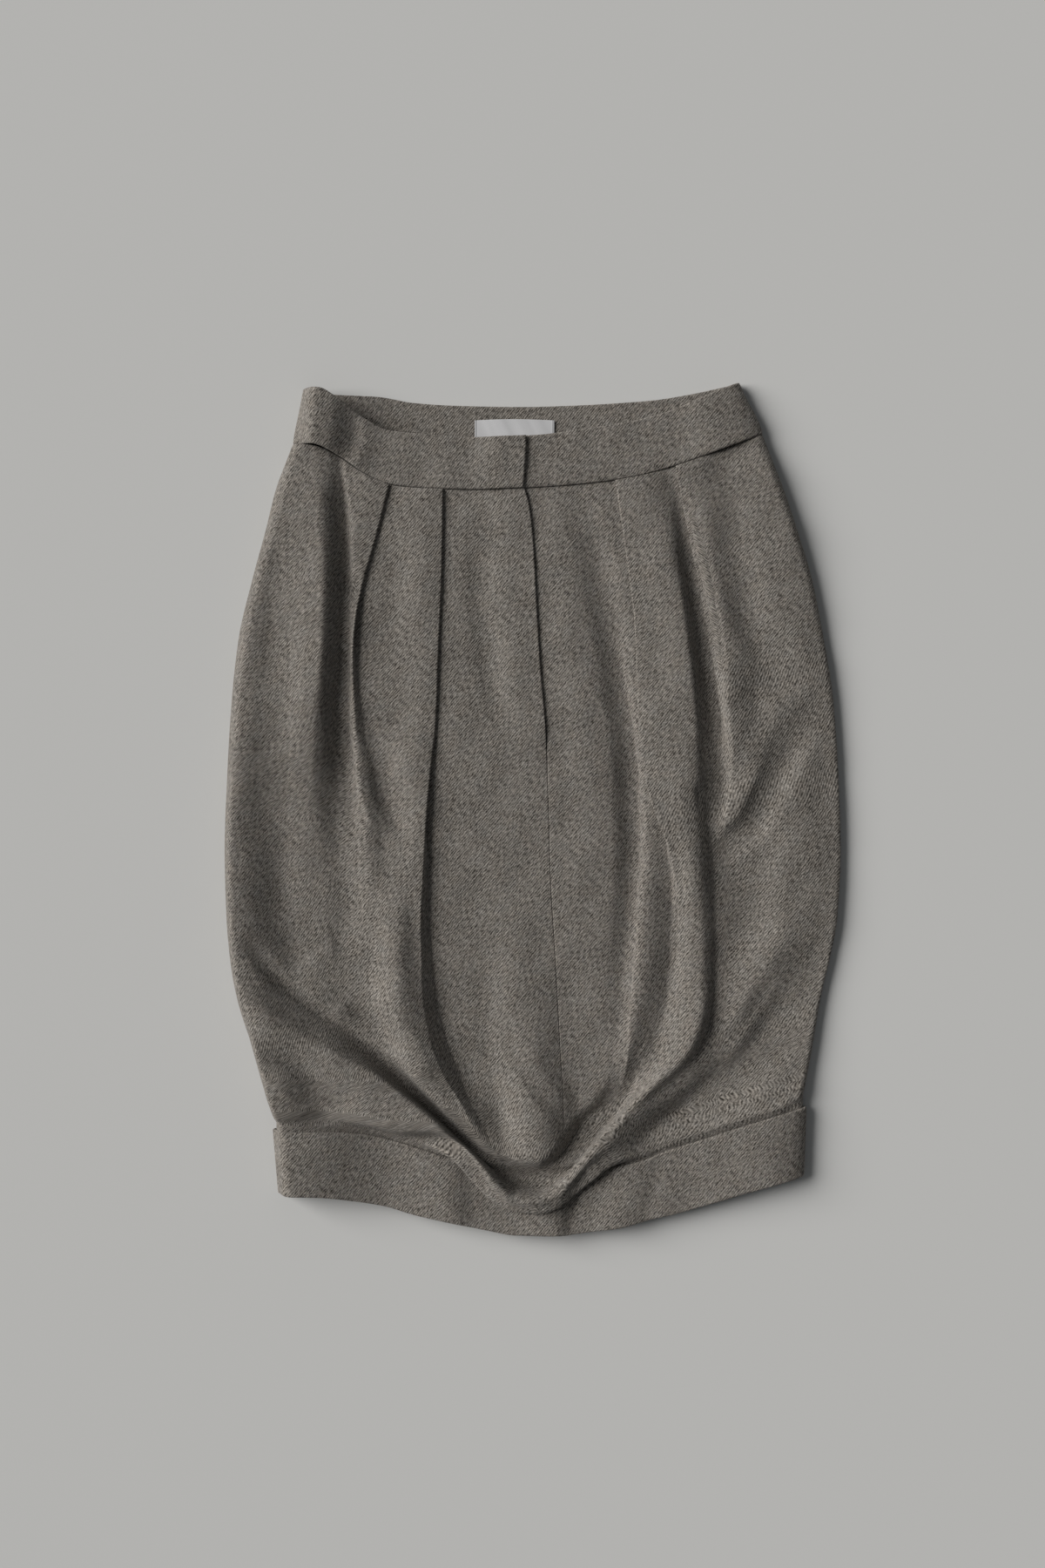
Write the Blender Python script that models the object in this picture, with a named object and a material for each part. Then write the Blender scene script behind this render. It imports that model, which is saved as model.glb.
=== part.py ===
"""A wool balloon skirt, laid flat on its back with its front pleats up.

Tables and sizes are in millimetres, as a pattern cutter writes them, and every mesh is
made in metres. The skirt lies on z = 0. Across is +X to the viewer's right, along is +Y
towards the waist, and +Z is up, out of the front.
"""
from collections import namedtuple
import math

import bmesh
import bpy
import numpy as np

MM = 0.001

# Driving sizes ---------------------------------------------------------------------------
CLOTH = 1.2              # wool twill, one layer
DOUBLED = 2.4            # waistband and cuff, two layers of the cloth
SEAM_GAP = 0.3           # between neighbouring pieces
LABEL_WIDE = 59.0
LABEL_TALL = 27.0
LABEL_THICK = 1.0
LABEL_LEFT = -43.0       # the label's left end and its top edge
LABEL_TOP = 287.0
FLY_LAP = 15.0           # how far the right front runs under the left one
FLY_FOOT = 72.0          # the lap ends here and a plain seam goes on to the hem
SIDE_SEAM_HIGH = 5.5     # height of the side seams over the surface
FRONT_HIGH = 11.4        # middle of the front's wall where no fold lifts it
HEM_HIGH = 9.9           # middle of the front's wall inside the cuff
BAND_HIGH = 12.4         # middle of the front waistband's wall
PLEAT_TURN = 1.0         # radius of the wall's middle where a pleat doubles back
LIP_TURN = 3.6           # radius of the droop's lower edge
CUFF_TURN = 2.2          # radius where the front passes round the cuff's top edge
SHORTEST_TURN = 1.2      # least length given to a turn where a fold has opened flat
SEAM_STRIP = 0.9         # upright strip along a side seam, so that front and back meet square
CUFF_CLEAR = 0.5         # between the cuff and the skirt inside it
TURN_CLEAR = 0.6         # between the cuff's top edge and the front that passes round it

# Tables ------------------------------------------------------------------------------------
Sides = namedtuple("Sides", "along left right")
SIDES = [
    Sides(276, -174, 169), Sides(258, -181, 176), Sides(235, -189.5, 185), Sides(205, -197, 195),
    Sides(170, -206.5, 205.5), Sides(125, -217, 214.5), Sides(80, -222, 221.5),
    Sides(30, -225, 225), Sides(-30, -227, 227), Sides(-80, -225.5, 224.5),
    Sides(-110, -223, 219), Sides(-140, -217.5, 212), Sides(-170, -208, 207),
    Sides(-200, -199.5, 201.5), Sides(-214, -196, 199), Sides(-231, -189.1, 199),
]

Edge = namedtuple("Edge", "across along")
WAIST_SEAM = [
    Edge(-177, 268.5), Edge(-160, 266.5), Edge(-143, 259), Edge(-125, 247), Edge(-106, 238.5),
    Edge(-80, 235.5), Edge(-40, 234.5), Edge(0, 236), Edge(40, 239), Edge(75, 244),
    Edge(105, 252), Edge(135, 262.5), Edge(155, 270), Edge(170, 276),
]
FRONT_BAND_TOP = [
    Edge(-169, 309), Edge(-156, 308), Edge(-145, 302), Edge(-122, 285.5), Edge(-106, 278),
    Edge(-82, 275.5), Edge(-43, 273), Edge(0, 274.5), Edge(39, 279.5), Edge(66, 283.5),
    Edge(90, 289), Edge(110, 296), Edge(127, 303.5), Edge(140, 309), Edge(152, 314),
]
BACK_SEAM = [
    Edge(-177, 268.5), Edge(-145, 266), Edge(-115, 264), Edge(-60, 258), Edge(-8, 257),
    Edge(66, 260), Edge(115, 266.5), Edge(150, 273.5), Edge(170, 276),
]
BACK_BAND_TOP = [
    Edge(-169, 309), Edge(-145, 306), Edge(-115, 304.5), Edge(-89, 300), Edge(-60, 298),
    Edge(-8, 297), Edge(30, 298), Edge(66, 300), Edge(90, 302), Edge(115, 306), Edge(152, 314),
]
CUFF_TOP = [
    Edge(-192, -236), Edge(-150, -236.5), Edge(-124, -239), Edge(-102, -244), Edge(-80, -250.5),
    Edge(-60, -256.5), Edge(-35, -263), Edge(0, -266.5), Edge(35, -265.5), Edge(63, -262.5),
    Edge(81, -258.5), Edge(97, -252), Edge(122, -244), Edge(150, -234.5), Edge(202, -219),
]
HEM = [
    Edge(-189, -283), Edge(-157, -284), Edge(-132, -287.5), Edge(-109, -292), Edge(-88, -298),
    Edge(-60, -304), Edge(-33, -310), Edge(-12, -313.5), Edge(22, -313.5), Edge(41, -311),
    Edge(63, -308), Edge(86, -302), Edge(104, -298), Edge(125, -292), Edge(154, -283),
    Edge(201, -270),
]

# The cuff's two ends, at its top edge and at its hem.
CuffEnd = namedtuple("CuffEnd", "top_along hem_along top_side hem_side")
CUFF_ENDS = {-1: CuffEnd(-236.0, -283.0, -192.0, -188.0), 1: CuffEnd(-219.0, -270.0, 202.0, 200.0)}

# The line down the front where the halves meet: the fly's edge, then the centre seam.
FLY = [
    Edge(-7, 238), Edge(-3, 224), Edge(0, 200), Edge(3, 146), Edge(6, 98), Edge(9, 64),
    Edge(11.5, 0), Edge(13, -50), Edge(16.5, -110), Edge(20, -175), Edge(22.5, -225),
    Edge(21, -255), Edge(14, -277), Edge(6, -294), Edge(2, -315),
]

# One row for each level of a pleat: where its fold edge lies, how far its cloth has turned
# (180 is doubled back flat, less has opened to a slope), and how much cloth lies in the turn.
Pleat = namedtuple("Pleat", "along across turned depth")
LEFT_INNER_PLEAT = [
    Pleat(240, -67, 180, 9), Pleat(178, -68, 180, 8), Pleat(114, -70.5, 180, 7),
    Pleat(63, -72.5, 180, 6), Pleat(31, -76, 165, 5), Pleat(-5, -79, 110, 4.5),
    Pleat(-40, -80, 68, 6), Pleat(-85, -81, 50, 9), Pleat(-130, -80, 40, 12),
    Pleat(-165, -75, 24, 12), Pleat(-200, -66, 0, 8), Pleat(-250, -58, 0, 3),
    Pleat(-310, -55, 0, 3),
]
LEFT_OUTER_PLEAT = [
    Pleat(245, -105, 180, 9), Pleat(201, -116, 180, 7.5), Pleat(165, -126, 175, 5),
    Pleat(138, -131, 130, 4), Pleat(108, -133, 75, 4), Pleat(70, -131, 35, 5),
    Pleat(25, -127, 0, 5), Pleat(-60, -119, 0, 3), Pleat(-150, -112, 0, 3),
    Pleat(-250, -108, 0, 3),
]
RIGHT_INNER_PLEAT = [
    Pleat(245, 61, 180, 9), Pleat(197, 68, 180, 9), Pleat(153, 74, 180, 8),
    Pleat(89, 80.5, 180, 6.5), Pleat(44, 86, 175, 5.5), Pleat(5, 93, 150, 4.5),
    Pleat(-30, 101, 85, 4), Pleat(-60, 107, 40, 4), Pleat(-90, 108, 0, 4),
    Pleat(-160, 92, 0, 3), Pleat(-230, 72, 0, 3), Pleat(-310, 60, 0, 3),
]
RIGHT_OUTER_PLEAT = [
    Pleat(262, 104, 180, 9), Pleat(210, 114, 180, 9), Pleat(172, 122, 180, 8),
    Pleat(140, 128, 180, 7), Pleat(108, 134, 165, 5.5), Pleat(75, 139, 110, 4.5),
    Pleat(45, 143, 45, 4), Pleat(15, 146, 0, 4), Pleat(-60, 150, 0, 3), Pleat(-250, 140, 0, 3),
]

# Where the front droops over the cuff: its lowest edge, and how far it has turned under.
Droop = namedtuple("Droop", "across turned depth")
DROOP = [
    Droop(-240, 0, 2), Droop(-104, 0, 2), Droop(-82, 35, 2), Droop(-66, 84, 3),
    Droop(-53, 140, 5), Droop(-44, 180, 9), Droop(-36, 180, 16), Droop(-26, 180, 23),
    Droop(-12, 180, 26.5), Droop(4, 180, 27.5), Droop(18, 180, 23), Droop(32, 180, 13),
    Droop(42, 162, 6), Droop(54, 110, 4), Droop(68, 60, 3), Droop(84, 24, 2), Droop(100, 0, 2),
    Droop(240, 0, 2),
]

# Soft folds. Each runs along its path, walked from its first stop to its last, and its height
# fades to nothing over one width on the walker's right hand and another on the left.
Stop = namedtuple("Stop", "across along rise")
Fold = namedtuple("Fold", "name right_hand left_hand path")
FRONT_FOLDS = [
    Fold("left side swell", 38, 27, [
        Stop(-159, 262, 5), Stop(-161, 215, 8), Stop(-164, 150, 11), Stop(-168, 85, 11),
        Stop(-167, 20, 8), Stop(-160, -30, 5), Stop(-150, -80, 2)]),
    Fold("left trough", 20, 14, [
        Stop(-147, 262, -2), Stop(-147, 215, -3), Stop(-147, 150, -3.5), Stop(-146, 95, -4),
        Stop(-142, 50, -5), Stop(-134, 15, -4), Stop(-125, -10, -1)]),
    Fold("left rim", 12, 52, [
        Stop(-211, 90, 1), Stop(-215, 35, 6), Stop(-216, -30, 10), Stop(-212, -85, 11),
        Stop(-203, -125, 7)]),
    Fold("left roll", 26, 16, [
        Stop(-129, 175, 1), Stop(-134, 101, 2.5), Stop(-130, 55, 4), Stop(-124, 15, 4),
        Stop(-114, -34, 4), Stop(-107, -84, 4), Stop(-101, -132, 6), Stop(-88, -172, 9),
        Stop(-71, -206, 10), Stop(-48, -238, 9), Stop(-26, -262, 6), Stop(-12, -274, 2)]),
    Fold("left inner swell", 26, 20, [
        Stop(-84, 197, 1), Stop(-90, 108, 2), Stop(-95, 18, 2), Stop(-97, -46, 2),
        Stop(-98, -97, 2), Stop(-92, -142, 2)]),
    Fold("left garland", 46, 20, [
        Stop(-214, -126, 1), Stop(-196, -148, 5), Stop(-168, -168, 9), Stop(-144, -184, 12),
        Stop(-120, -200, 14), Stop(-99, -217, 15), Stop(-77, -237, 16), Stop(-57, -256, 16),
        Stop(-40, -271, 13), Stop(-22, -284, 9), Stop(0, -289, 5)]),
    Fold("ridge by the left side", 12, 70, [
        Stop(-206, -155, 1), Stop(-198, -182, 5), Stop(-189, -210, 8), Stop(-182, -236, 9)]),
    Fold("pocket over the garland", 14, 16, [
        Stop(-178, -132, -1), Stop(-145, -158, -4), Stop(-118, -178, -6), Stop(-86, -202, -8),
        Stop(-60, -226, -9), Stop(-36, -252, -8), Stop(-10, -270, -7), Stop(13, -267, -6),
        Stop(27, -246, -4), Stop(34, -225, -1)]),
    Fold("hollow under the left swell", 22, 24, [
        Stop(-210, 50, -1), Stop(-206, -14, -2), Stop(-202, -78, -3), Stop(-196, -116, -4),
        Stop(-182, -140, -3), Stop(-164, -158, -1)]),
    Fold("bottom swell", 60, 55, [
        Stop(-24, -105, 1), Stop(-10, -165, 5), Stop(0, -215, 10), Stop(3, -245, 11)]),
    Fold("centre trough", 26, 16, [
        Stop(31, 217, -1), Stop(40, 162, -2), Stop(49, 114, -3), Stop(57, 64, -4),
        Stop(61, -1, -4), Stop(58, -66, -3), Stop(52, -116, -1)]),
    Fold("right middle ridge", 20, 10, [
        Stop(72, 146, 1), Stop(79, 89, 3), Stop(83, 37, 5), Stop(82, -7, 6), Stop(77, -65, 7),
        Stop(70, -123, 7), Stop(64, -174, 7), Stop(57, -209, 6), Stop(46, -240, 3)]),
    Fold("wedge by the right ridge", 10, 12, [
        Stop(88, 39, -2), Stop(95, -17, -5), Stop(96, -66, -6), Stop(90, -115, -6),
        Stop(81, -164, -5), Stop(71, -201, -2)]),
    Fold("right roll", 24, 13, [
        Stop(103, 30, 1), Stop(111, -20, 5), Stop(116, -59, 7), Stop(118, -97, 8),
        Stop(117, -132, 10), Stop(110, -161, 11), Stop(97, -190, 12), Stop(79, -215, 13),
        Stop(57, -240, 14), Stop(38, -263, 13), Stop(22, -279, 10), Stop(6, -288, 5)]),
    Fold("valley outside the right roll", 9, 15, [
        Stop(122, 10, -2), Stop(127, -33, -5), Stop(131, -78, -6), Stop(132, -116, -7),
        Stop(128, -157, -7), Stop(113, -187, -6), Stop(93, -211, -5), Stop(73, -232, -2)]),
    Fold("swell by the right pleat", 26, 14, [
        Stop(90, 217, 2), Stop(98, 146, 4), Stop(104, 82, 5), Stop(108, 37, 4),
        Stop(108, -1, 1)]),
    Fold("wedge under the right pleat", 20, 13, [
        Stop(108, 225, -1), Stop(114, 190, -2), Stop(122, 140, -4), Stop(129, 95, -5),
        Stop(137, 55, -5), Stop(141, 15, -3), Stop(137, -15, -1)]),
    Fold("crease from the right side", 12, 10, [
        Stop(196, 82, -1), Stop(178, 34, -4), Stop(158, -4, -6), Stop(138, -22, -5),
        Stop(124, -32, -2)]),
    Fold("right side swell", 36, 30, [
        Stop(160, 245, 3), Stop(176, 178, 5), Stop(186, 108, 6), Stop(192, 44, 6),
        Stop(192, -20, 6), Stop(186, -78, 5), Stop(172, -129, 2)]),
    Fold("right low ridge", 13, 12, [
        Stop(190, -78, 1), Stop(174, -120, 3), Stop(156, -153, 5), Stop(139, -178, 5),
        Stop(121, -202, 5), Stop(101, -220, 4), Stop(81, -237, 1)]),
    Fold("right low valley", 10, 15, [
        Stop(198, -108, -1), Stop(185, -132, -3), Stop(165, -161, -5), Stop(142, -186, -5),
        Stop(120, -209, -5), Stop(98, -227, -3), Stop(76, -240, -1)]),
]
BAND_FOLDS = [
    Fold("left end ridge", 16, 42, [Stop(-160, 312, 7), Stop(-159, 285, 9), Stop(-159, 262, 9)]),
    Fold("left end trough", 16, 12, [Stop(-132, 300, -2), Stop(-134, 272, -3), Stop(-142, 252, -3)]),
    Fold("right end swell", 30, 26, [Stop(128, 308, 2), Stop(134, 285, 3), Stop(142, 262, 3)]),
]
CUFF_FOLDS = [
    Fold("left end ridge", 22, 60, [Stop(-172, -232, 5), Stop(-169, -257, 6), Stop(-167, -288, 6)]),
    Fold("left dip", 24, 18, [Stop(-138, -234, -1), Stop(-138, -262, -1.5), Stop(-138, -290, -1)]),
    Fold("middle roll", 30, 22, [Stop(-52, -252, 1), Stop(-48, -282, 2), Stop(-42, -312, 3)]),
    Fold("centre dent", 14, 12, [Stop(22, -266, 0), Stop(20, -290, 0.5), Stop(10, -316, 1.5)]),
    Fold("right roll", 22, 16, [Stop(66, -262, 1), Stop(58, -285, 2), Stop(52, -312, 2.5)]),
    Fold("right far roll", 30, 24, [Stop(150, -236, 1), Stop(146, -258, 2), Stop(142, -290, 2)]),
]


# Curves and folds ----------------------------------------------------------------------------
def smooth_through(places, values, wanted):
    """A smooth curve through a table's values, held flat past its two ends."""
    places = np.asarray(places, float)
    values = np.asarray(values, float)
    if places[0] > places[-1]:
        places = places[::-1]
        values = values[::-1]
    steps = np.diff(places)
    slopes = np.diff(values) / steps
    tangents = np.zeros_like(values)
    same_way = slopes[:-1] * slopes[1:] > 0
    harmonic = 3 * (steps[:-1] + steps[1:]) / (
        (2 * steps[1:] + steps[:-1]) / np.where(same_way, slopes[:-1], 1)
        + (steps[1:] + 2 * steps[:-1]) / np.where(same_way, slopes[1:], 1))
    tangents[1:-1] = np.where(same_way, harmonic, 0)
    tangents[0] = slopes[0]
    tangents[-1] = slopes[-1]
    wanted = np.clip(wanted, places[0], places[-1])
    cell = np.clip(np.searchsorted(places, wanted, side="right") - 1, 0, len(steps) - 1)
    t = (wanted - places[cell]) / steps[cell]
    return ((2 * t ** 3 - 3 * t ** 2 + 1) * values[cell]
            + (t ** 3 - 2 * t ** 2 + t) * steps[cell] * tangents[cell]
            + (3 * t ** 2 - 2 * t ** 3) * values[cell + 1]
            + (t ** 3 - t ** 2) * steps[cell] * tangents[cell + 1])


def edge_along(edge, across):
    """Where an edge of the pattern lies along the skirt, at places across it."""
    return smooth_through([p.across for p in edge], [p.along for p in edge], across)


def column(table, name, along):
    """One column of a table of levels, at any level."""
    return smooth_through([row.along for row in table], [getattr(row, name) for row in table], along)


def ease(value):
    """0 to 1, smooth at both ends."""
    value = np.clip(value, 0, 1)
    return value * value * (3 - 2 * value)


def fold_height(folds, across, along):
    """The height that a list of soft folds adds at each place."""
    total = np.zeros(np.broadcast(across, along).shape)
    for fold in folds:
        stops = np.array([[stop.across, stop.along, stop.rise] for stop in fold.path])
        at = np.arange(len(stops))
        fine = np.linspace(0, len(stops) - 1, 6 * (len(stops) - 1) + 1)
        path = np.stack([smooth_through(at, stops[:, k], fine) for k in range(3)], axis=1)
        nearest = np.full(total.shape, np.inf)
        rise = np.zeros(total.shape)
        side = np.zeros(total.shape)
        for start, end in zip(path[:-1], path[1:]):
            run = end[:2] - start[:2]
            reach = ((across - start[0]) * run[0] + (along - start[1]) * run[1]) / (run @ run)
            reach = np.clip(reach, 0, 1)
            off_x = across - (start[0] + reach * run[0])
            off_y = along - (start[1] + reach * run[1])
            distance = np.hypot(off_x, off_y)
            closer = distance < nearest
            nearest = np.where(closer, distance, nearest)
            rise = np.where(closer, start[2] + reach * (end[2] - start[2]), rise)
            side = np.where(closer, run[0] * off_y - run[1] * off_x, side)
        # The two widths blend over a short way at the path, so its crest has no kink.
        handed = ease(0.5 + side / (np.abs(side) + 1e-9) * ease(nearest / 6) / 2)
        width = fold.right_hand + (fold.left_hand - fold.right_hand) * handed
        share = np.clip(1 - (nearest / width) ** 2, 0, 1)
        total = total + rise * share ** 2
    return total


def turning(turned, depth, first_radius, last_radius, steps):
    """A fold's own small section: out, round, back by its depth, round again and on.

    Gives how far each of its points has gone forward and how far it has dropped.
    """
    turned = np.radians(turned)
    turn_steps, back_steps = steps
    first = np.maximum(first_radius * turned, SHORTEST_TURN)
    last = np.maximum(last_radius * turned, SHORTEST_TURN)
    forward = [np.zeros_like(turned)]
    drop = [np.zeros_like(turned)]
    pieces = ([(first / turn_steps, (k + 0.5) / turn_steps) for k in range(turn_steps)]
              + [(depth / back_steps, 1.0)] * back_steps
              + [(last / turn_steps, 1 - (k + 0.5) / turn_steps) for k in range(turn_steps)])
    for length, share in pieces:
        forward.append(forward[-1] + length * np.cos(turned * share))
        drop.append(drop[-1] + length * np.sin(turned * share))
    return np.array(forward), np.array(drop)


def side_roll(distance_in, top, roll):
    """Height of the wall's middle near a side, where the cloth rounds down to its seam.

    The first point is the seam's own, and the second stands over it at the same place.
    """
    share = np.clip(distance_in / roll, 0, 1)
    foot = SIDE_SEAM_HIGH + SEAM_STRIP
    height = foot + (top - foot) * np.sqrt(1 - (1 - share) ** 2)
    return np.concatenate([[SIDE_SEAM_HIGH], height[1:]])


def rolled_steps(roll):
    """How far in from a side the points of its rounded stretch lie, the seam's own first."""
    angles = np.linspace(0, math.pi / 2, ROLL_STEPS + 1)
    return np.concatenate([[0.0], roll * (1 - np.cos(angles))])


# The front halves -----------------------------------------------------------------------------
ROLL_STEPS = 4
PLEAT_STEPS = (3, 1)
PLAIN_STEPS = (5, 3, 5)          # side to outer pleat, between the pleats, inner pleat to fly
PLEAT_CLEAR = 2.0        # a column of points lies this far past each end of a pleat's layers
BODY_ROWS = 22
DROOP_STEPS = (3, 2)
TUCK_ROWS = 2
SIDE_ROLL = [Edge(-215, 9), Edge(-160, 14), Edge(-60, 19), Edge(120, 19), Edge(276, 13)]
TUCK_ROLL = 9.0
PLEAT_HOLD = 2.0         # past a pleat's layers, the cloth on them stays as high as this far
PLEAT_SHORT = 0.4        # the layers doubled under a pleat stop this much short of the waist
PLEAT_FADE = 26.0        # over which it then settles
EDGE_STRIP = 1.5         # narrow strip along the fly and the waist, where edges meet alike
LAP_LIFT = 2.0           # the left front's rise over the right one at the fly
FLY_TOP = 236.0          # about where the fly's line starts and ends
FLY_END = -292.0
HEM_BLEND = 16.0         # over which the front settles onto the cuff


def front_height(across, along):
    """Middle of the front's wall, before any pleat or droop lifts it."""
    height = FRONT_HIGH + fold_height(FRONT_FOLDS, across, along)
    inside = ease((150 - np.abs(across)) / 30)
    lowest = SIDE_SEAM_HIGH - 0.5 + (HEM_HIGH - SIDE_SEAM_HIGH + 0.5) * inside
    over_droop = ease((-244 - along) / 14) * ease((72 - np.abs(across)) / 16)
    droop_floor = HEM_HIGH + fold_height(CUFF_FOLDS, across, along) + 2 * CUFF_TURN + 2 * CLOTH
    lowest = lowest + (droop_floor - lowest) * over_droop
    softness = 0.8
    return lowest + softness * np.logaddexp(0, (height - lowest) / softness)


def half_section(hand, along_guess, outer_pleat, inner_pleat, fly_edge):
    """One section across a half front, from its side to the fly.

    hand is -1 on the viewer's left and 1 on the right. Gives across, lift and the distance in
    from the side for each point.
    """
    side = column(SIDES, "left" if hand < 0 else "right", along_guess[0])
    roll = edge_along(SIDE_ROLL, along_guess[0])
    towards = -hand
    pleats = []
    for table, along in ((outer_pleat, along_guess[1]), (inner_pleat, along_guess[2])):
        edge = column(table, "across", along)
        turned = column(table, "turned", along)
        depth = column(table, "depth", along)
        forward, drop = turning(turned, depth, PLEAT_TURN, PLEAT_TURN, PLEAT_STEPS)
        pleats.append((edge, forward, drop))
    start = side + towards * CLOTH / 2
    across = list(start + towards * rolled_steps(roll))
    firsts_and_lasts = []
    for (edge, forward, _), steps in zip(pleats, PLAIN_STEPS):
        before = edge + towards * (min(forward.min(), 0) - PLEAT_CLEAR)
        across += list(np.linspace(across[-1], before, steps + 1)[1:])
        across.append(edge)
        first = len(across) - 1
        across += list(edge + towards * forward[1:])
        firsts_and_lasts.append((first, len(across) - 1))
        across.append(edge + towards * (max(forward.max(), 0) + PLEAT_CLEAR))
    across += list(np.linspace(across[-1], fly_edge - towards * EDGE_STRIP, PLAIN_STEPS[2] + 1)[1:])
    across = np.array(across + [fly_edge])
    lift = np.zeros(len(across))
    for (first, last), (edge, _, drop) in zip(firsts_and_lasts, pleats):
        layered = np.abs(across[first:last + 1] - edge).max() + PLEAT_HOLD
        away = np.abs(across[:first + 1] - edge) - layered
        lift[:first + 1] += drop[-1] * ease(1 - away / PLEAT_FADE)
        lift[first:last + 1] += drop[-1] - drop
        lift[first] -= drop[-1]
    return across, lift, np.abs(across - start), [first for first, _ in firsts_and_lasts]


def plain_places(across):
    """The places of a half front's row that go steadily on, from its side inwards."""
    towards = np.sign(across[-1] - across[0])
    kept = [across[ROLL_STEPS + 1]]
    for place in across[ROLL_STEPS + 2:-2]:
        if (place - kept[-1]) * towards > PLEAT_CLEAR + 2.5:
            kept.append(place)
    kept.append(across[-1])
    return np.array(kept)


def front_half(hand):
    """The middle of a half front's wall, as rows of points from the waist seam to the hem."""
    outer_pleat = LEFT_OUTER_PLEAT if hand < 0 else RIGHT_OUTER_PLEAT
    inner_pleat = LEFT_INNER_PLEAT if hand < 0 else RIGHT_INNER_PLEAT
    rows = [body_row(hand, 0.0, outer_pleat, inner_pleat)]
    # A narrow level strip along the waist seam keeps the wall square to its neighbour.
    across, along, height = rows[0]
    doubled_under = ~np.isin(across, plain_places(across))
    doubled_under[:ROLL_STEPS + 2] = False
    along = along - doubled_under * PLEAT_SHORT
    rows = [(across, along, height), (across, along - EDGE_STRIP, height)]
    for share in np.linspace(0, 1, BODY_ROWS)[1:]:
        rows.append(body_row(hand, share, outer_pleat, inner_pleat))
    last_across, last_along, last_height = rows[-1]
    forward, drop = droop_turning(last_across)
    for k in range(1, len(forward)):
        rows.append((last_across, last_along - forward[k], last_height - drop[k]))
    hem = edge_along(HEM, last_across) + 2 * SEAM_GAP
    top = rows[-1][1]
    for k in range(1, TUCK_ROWS + 1):
        along = top + (hem - top) * k / TUCK_ROWS
        across, height = tuck_place(hand, last_across, along)
        rows.append((across, along, height))
    return np.array(rows).transpose(0, 2, 1)


def cuff_side(hand, along):
    """Outer edge of the cuff at a side."""
    end = CUFF_ENDS[hand]
    share = np.clip((end.top_along - along) / (end.top_along - end.hem_along), 0, 1)
    return end.top_side + (end.hem_side - end.top_side) * share


def tuck_place(hand, across, along):
    """The front inside its cuff: a little narrower than the cuff, and level."""
    side = cuff_side(hand, along[0]) - hand * (DOUBLED + CUFF_CLEAR + CLOTH / 2)
    rolled = side - hand * rolled_steps(TUCK_ROLL)
    kept = len(rolled)
    fly = across[-1]
    plain = fly + (across[kept:] - fly) * (rolled[-1] - fly) / (across[kept - 1] - fly)
    new_across = np.concatenate([rolled, plain])
    height = HEM_HIGH + fold_height(CUFF_FOLDS, new_across, along)
    return new_across, side_roll(np.abs(new_across - side), height, TUCK_ROLL)


def body_row(hand, share, outer_pleat, inner_pleat):
    """One row of a half front between the waist seam and the droop's edge."""
    guess = np.array([FLY_TOP + (FLY_END - FLY_TOP) * share] * 4)
    for _ in range(6):
        fly_edge = edge_fly(hand, guess[3])
        across, lift, roll_in, edges = half_section(hand, guess, outer_pleat, inner_pleat, fly_edge)
        along = row_along(across, share)
        guess = np.array([along[0], along[edges[0]], along[edges[1]], along[-1]])
    height = front_height(across, along)
    end_along = row_along(across, 1.0)
    _, drop = droop_turning(across)
    settled = HEM_HIGH + fold_height(CUFF_FOLDS, across, end_along) + drop[-1]
    settle = ease(1 - (along - end_along) / HEM_BLEND)
    height = height + (settled - height) * settle
    lap = ease((along - (FLY_FOOT - 34)) / 26) * LAP_LIFT
    if hand < 0:
        lift = lift + lap * ease(1 - (np.abs(across - fly_edge) - FLY_LAP) / 22)
    height = side_roll(roll_in, height + lift, edge_along(SIDE_ROLL, along))
    return across, along, height


def droop_turning(across):
    """How far the droop's section goes forward and drops, at places across the front."""
    turned = smooth_through([d.across for d in DROOP], [d.turned for d in DROOP], across)
    depth = smooth_through([d.across for d in DROOP], [d.depth for d in DROOP], across)
    return turning(turned, depth, LIP_TURN, CUFF_TURN, DROOP_STEPS)


def row_along(across, share):
    """Rows follow the waist seam at the top and the droop's edge at the bottom."""
    forward, _ = droop_turning(across)
    bottom = edge_along(CUFF_TOP, across) + TURN_CLEAR + forward[-1]
    top = edge_along(WAIST_SEAM, across) - SEAM_GAP / 2
    return top + (bottom - top) * share


def edge_fly(hand, along):
    """The fly's edge for a half: the left one ends there, the right one runs under it."""
    fly = edge_along([Edge(p.along, p.across) for p in reversed(FLY)], along)
    if hand < 0:
        return fly - SEAM_GAP / 2
    under = ease((along - (FLY_FOOT - 6)) / 12)
    stepped = ease((along - (FLY_FOOT - 50)) / 16) * SEAM_GAP
    return fly + SEAM_GAP / 2 + stepped - under * (FLY_LAP + SEAM_GAP / 2 + stepped)


# The flat pieces --------------------------------------------------------------------------
BACK_ROLL = 6.0
BACK_PLAIN = 12
BAND_ROWS = 3
BAND_ROLL = 12.0
BAND_LAP = 14.0          # how far the right front band runs under the left one
CUFF_ROWS = 3


def seam_rise(across, roll, level):
    """Height of a flat piece whose two sides round up to the side seams."""
    distance_in = np.minimum(across - across[0], across[-1] - across)
    share = np.clip(distance_in / roll, 0, 1)
    seam = SIDE_SEAM_HIGH - SEAM_GAP
    foot = seam - SEAM_STRIP
    height = foot - (foot - level) * np.sqrt(1 - (1 - share) ** 2)
    height[0] = seam
    height[-1] = seam
    return height


def rounded_columns(left, right, roll):
    """Places across a flat piece, closer together where each side rounds into its seam."""
    steps = rolled_steps(roll)
    middle = np.linspace(left + roll, right - roll, BACK_PLAIN + 1)[1:-1]
    return np.concatenate([left + steps, middle, (right - steps)[::-1]])


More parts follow.
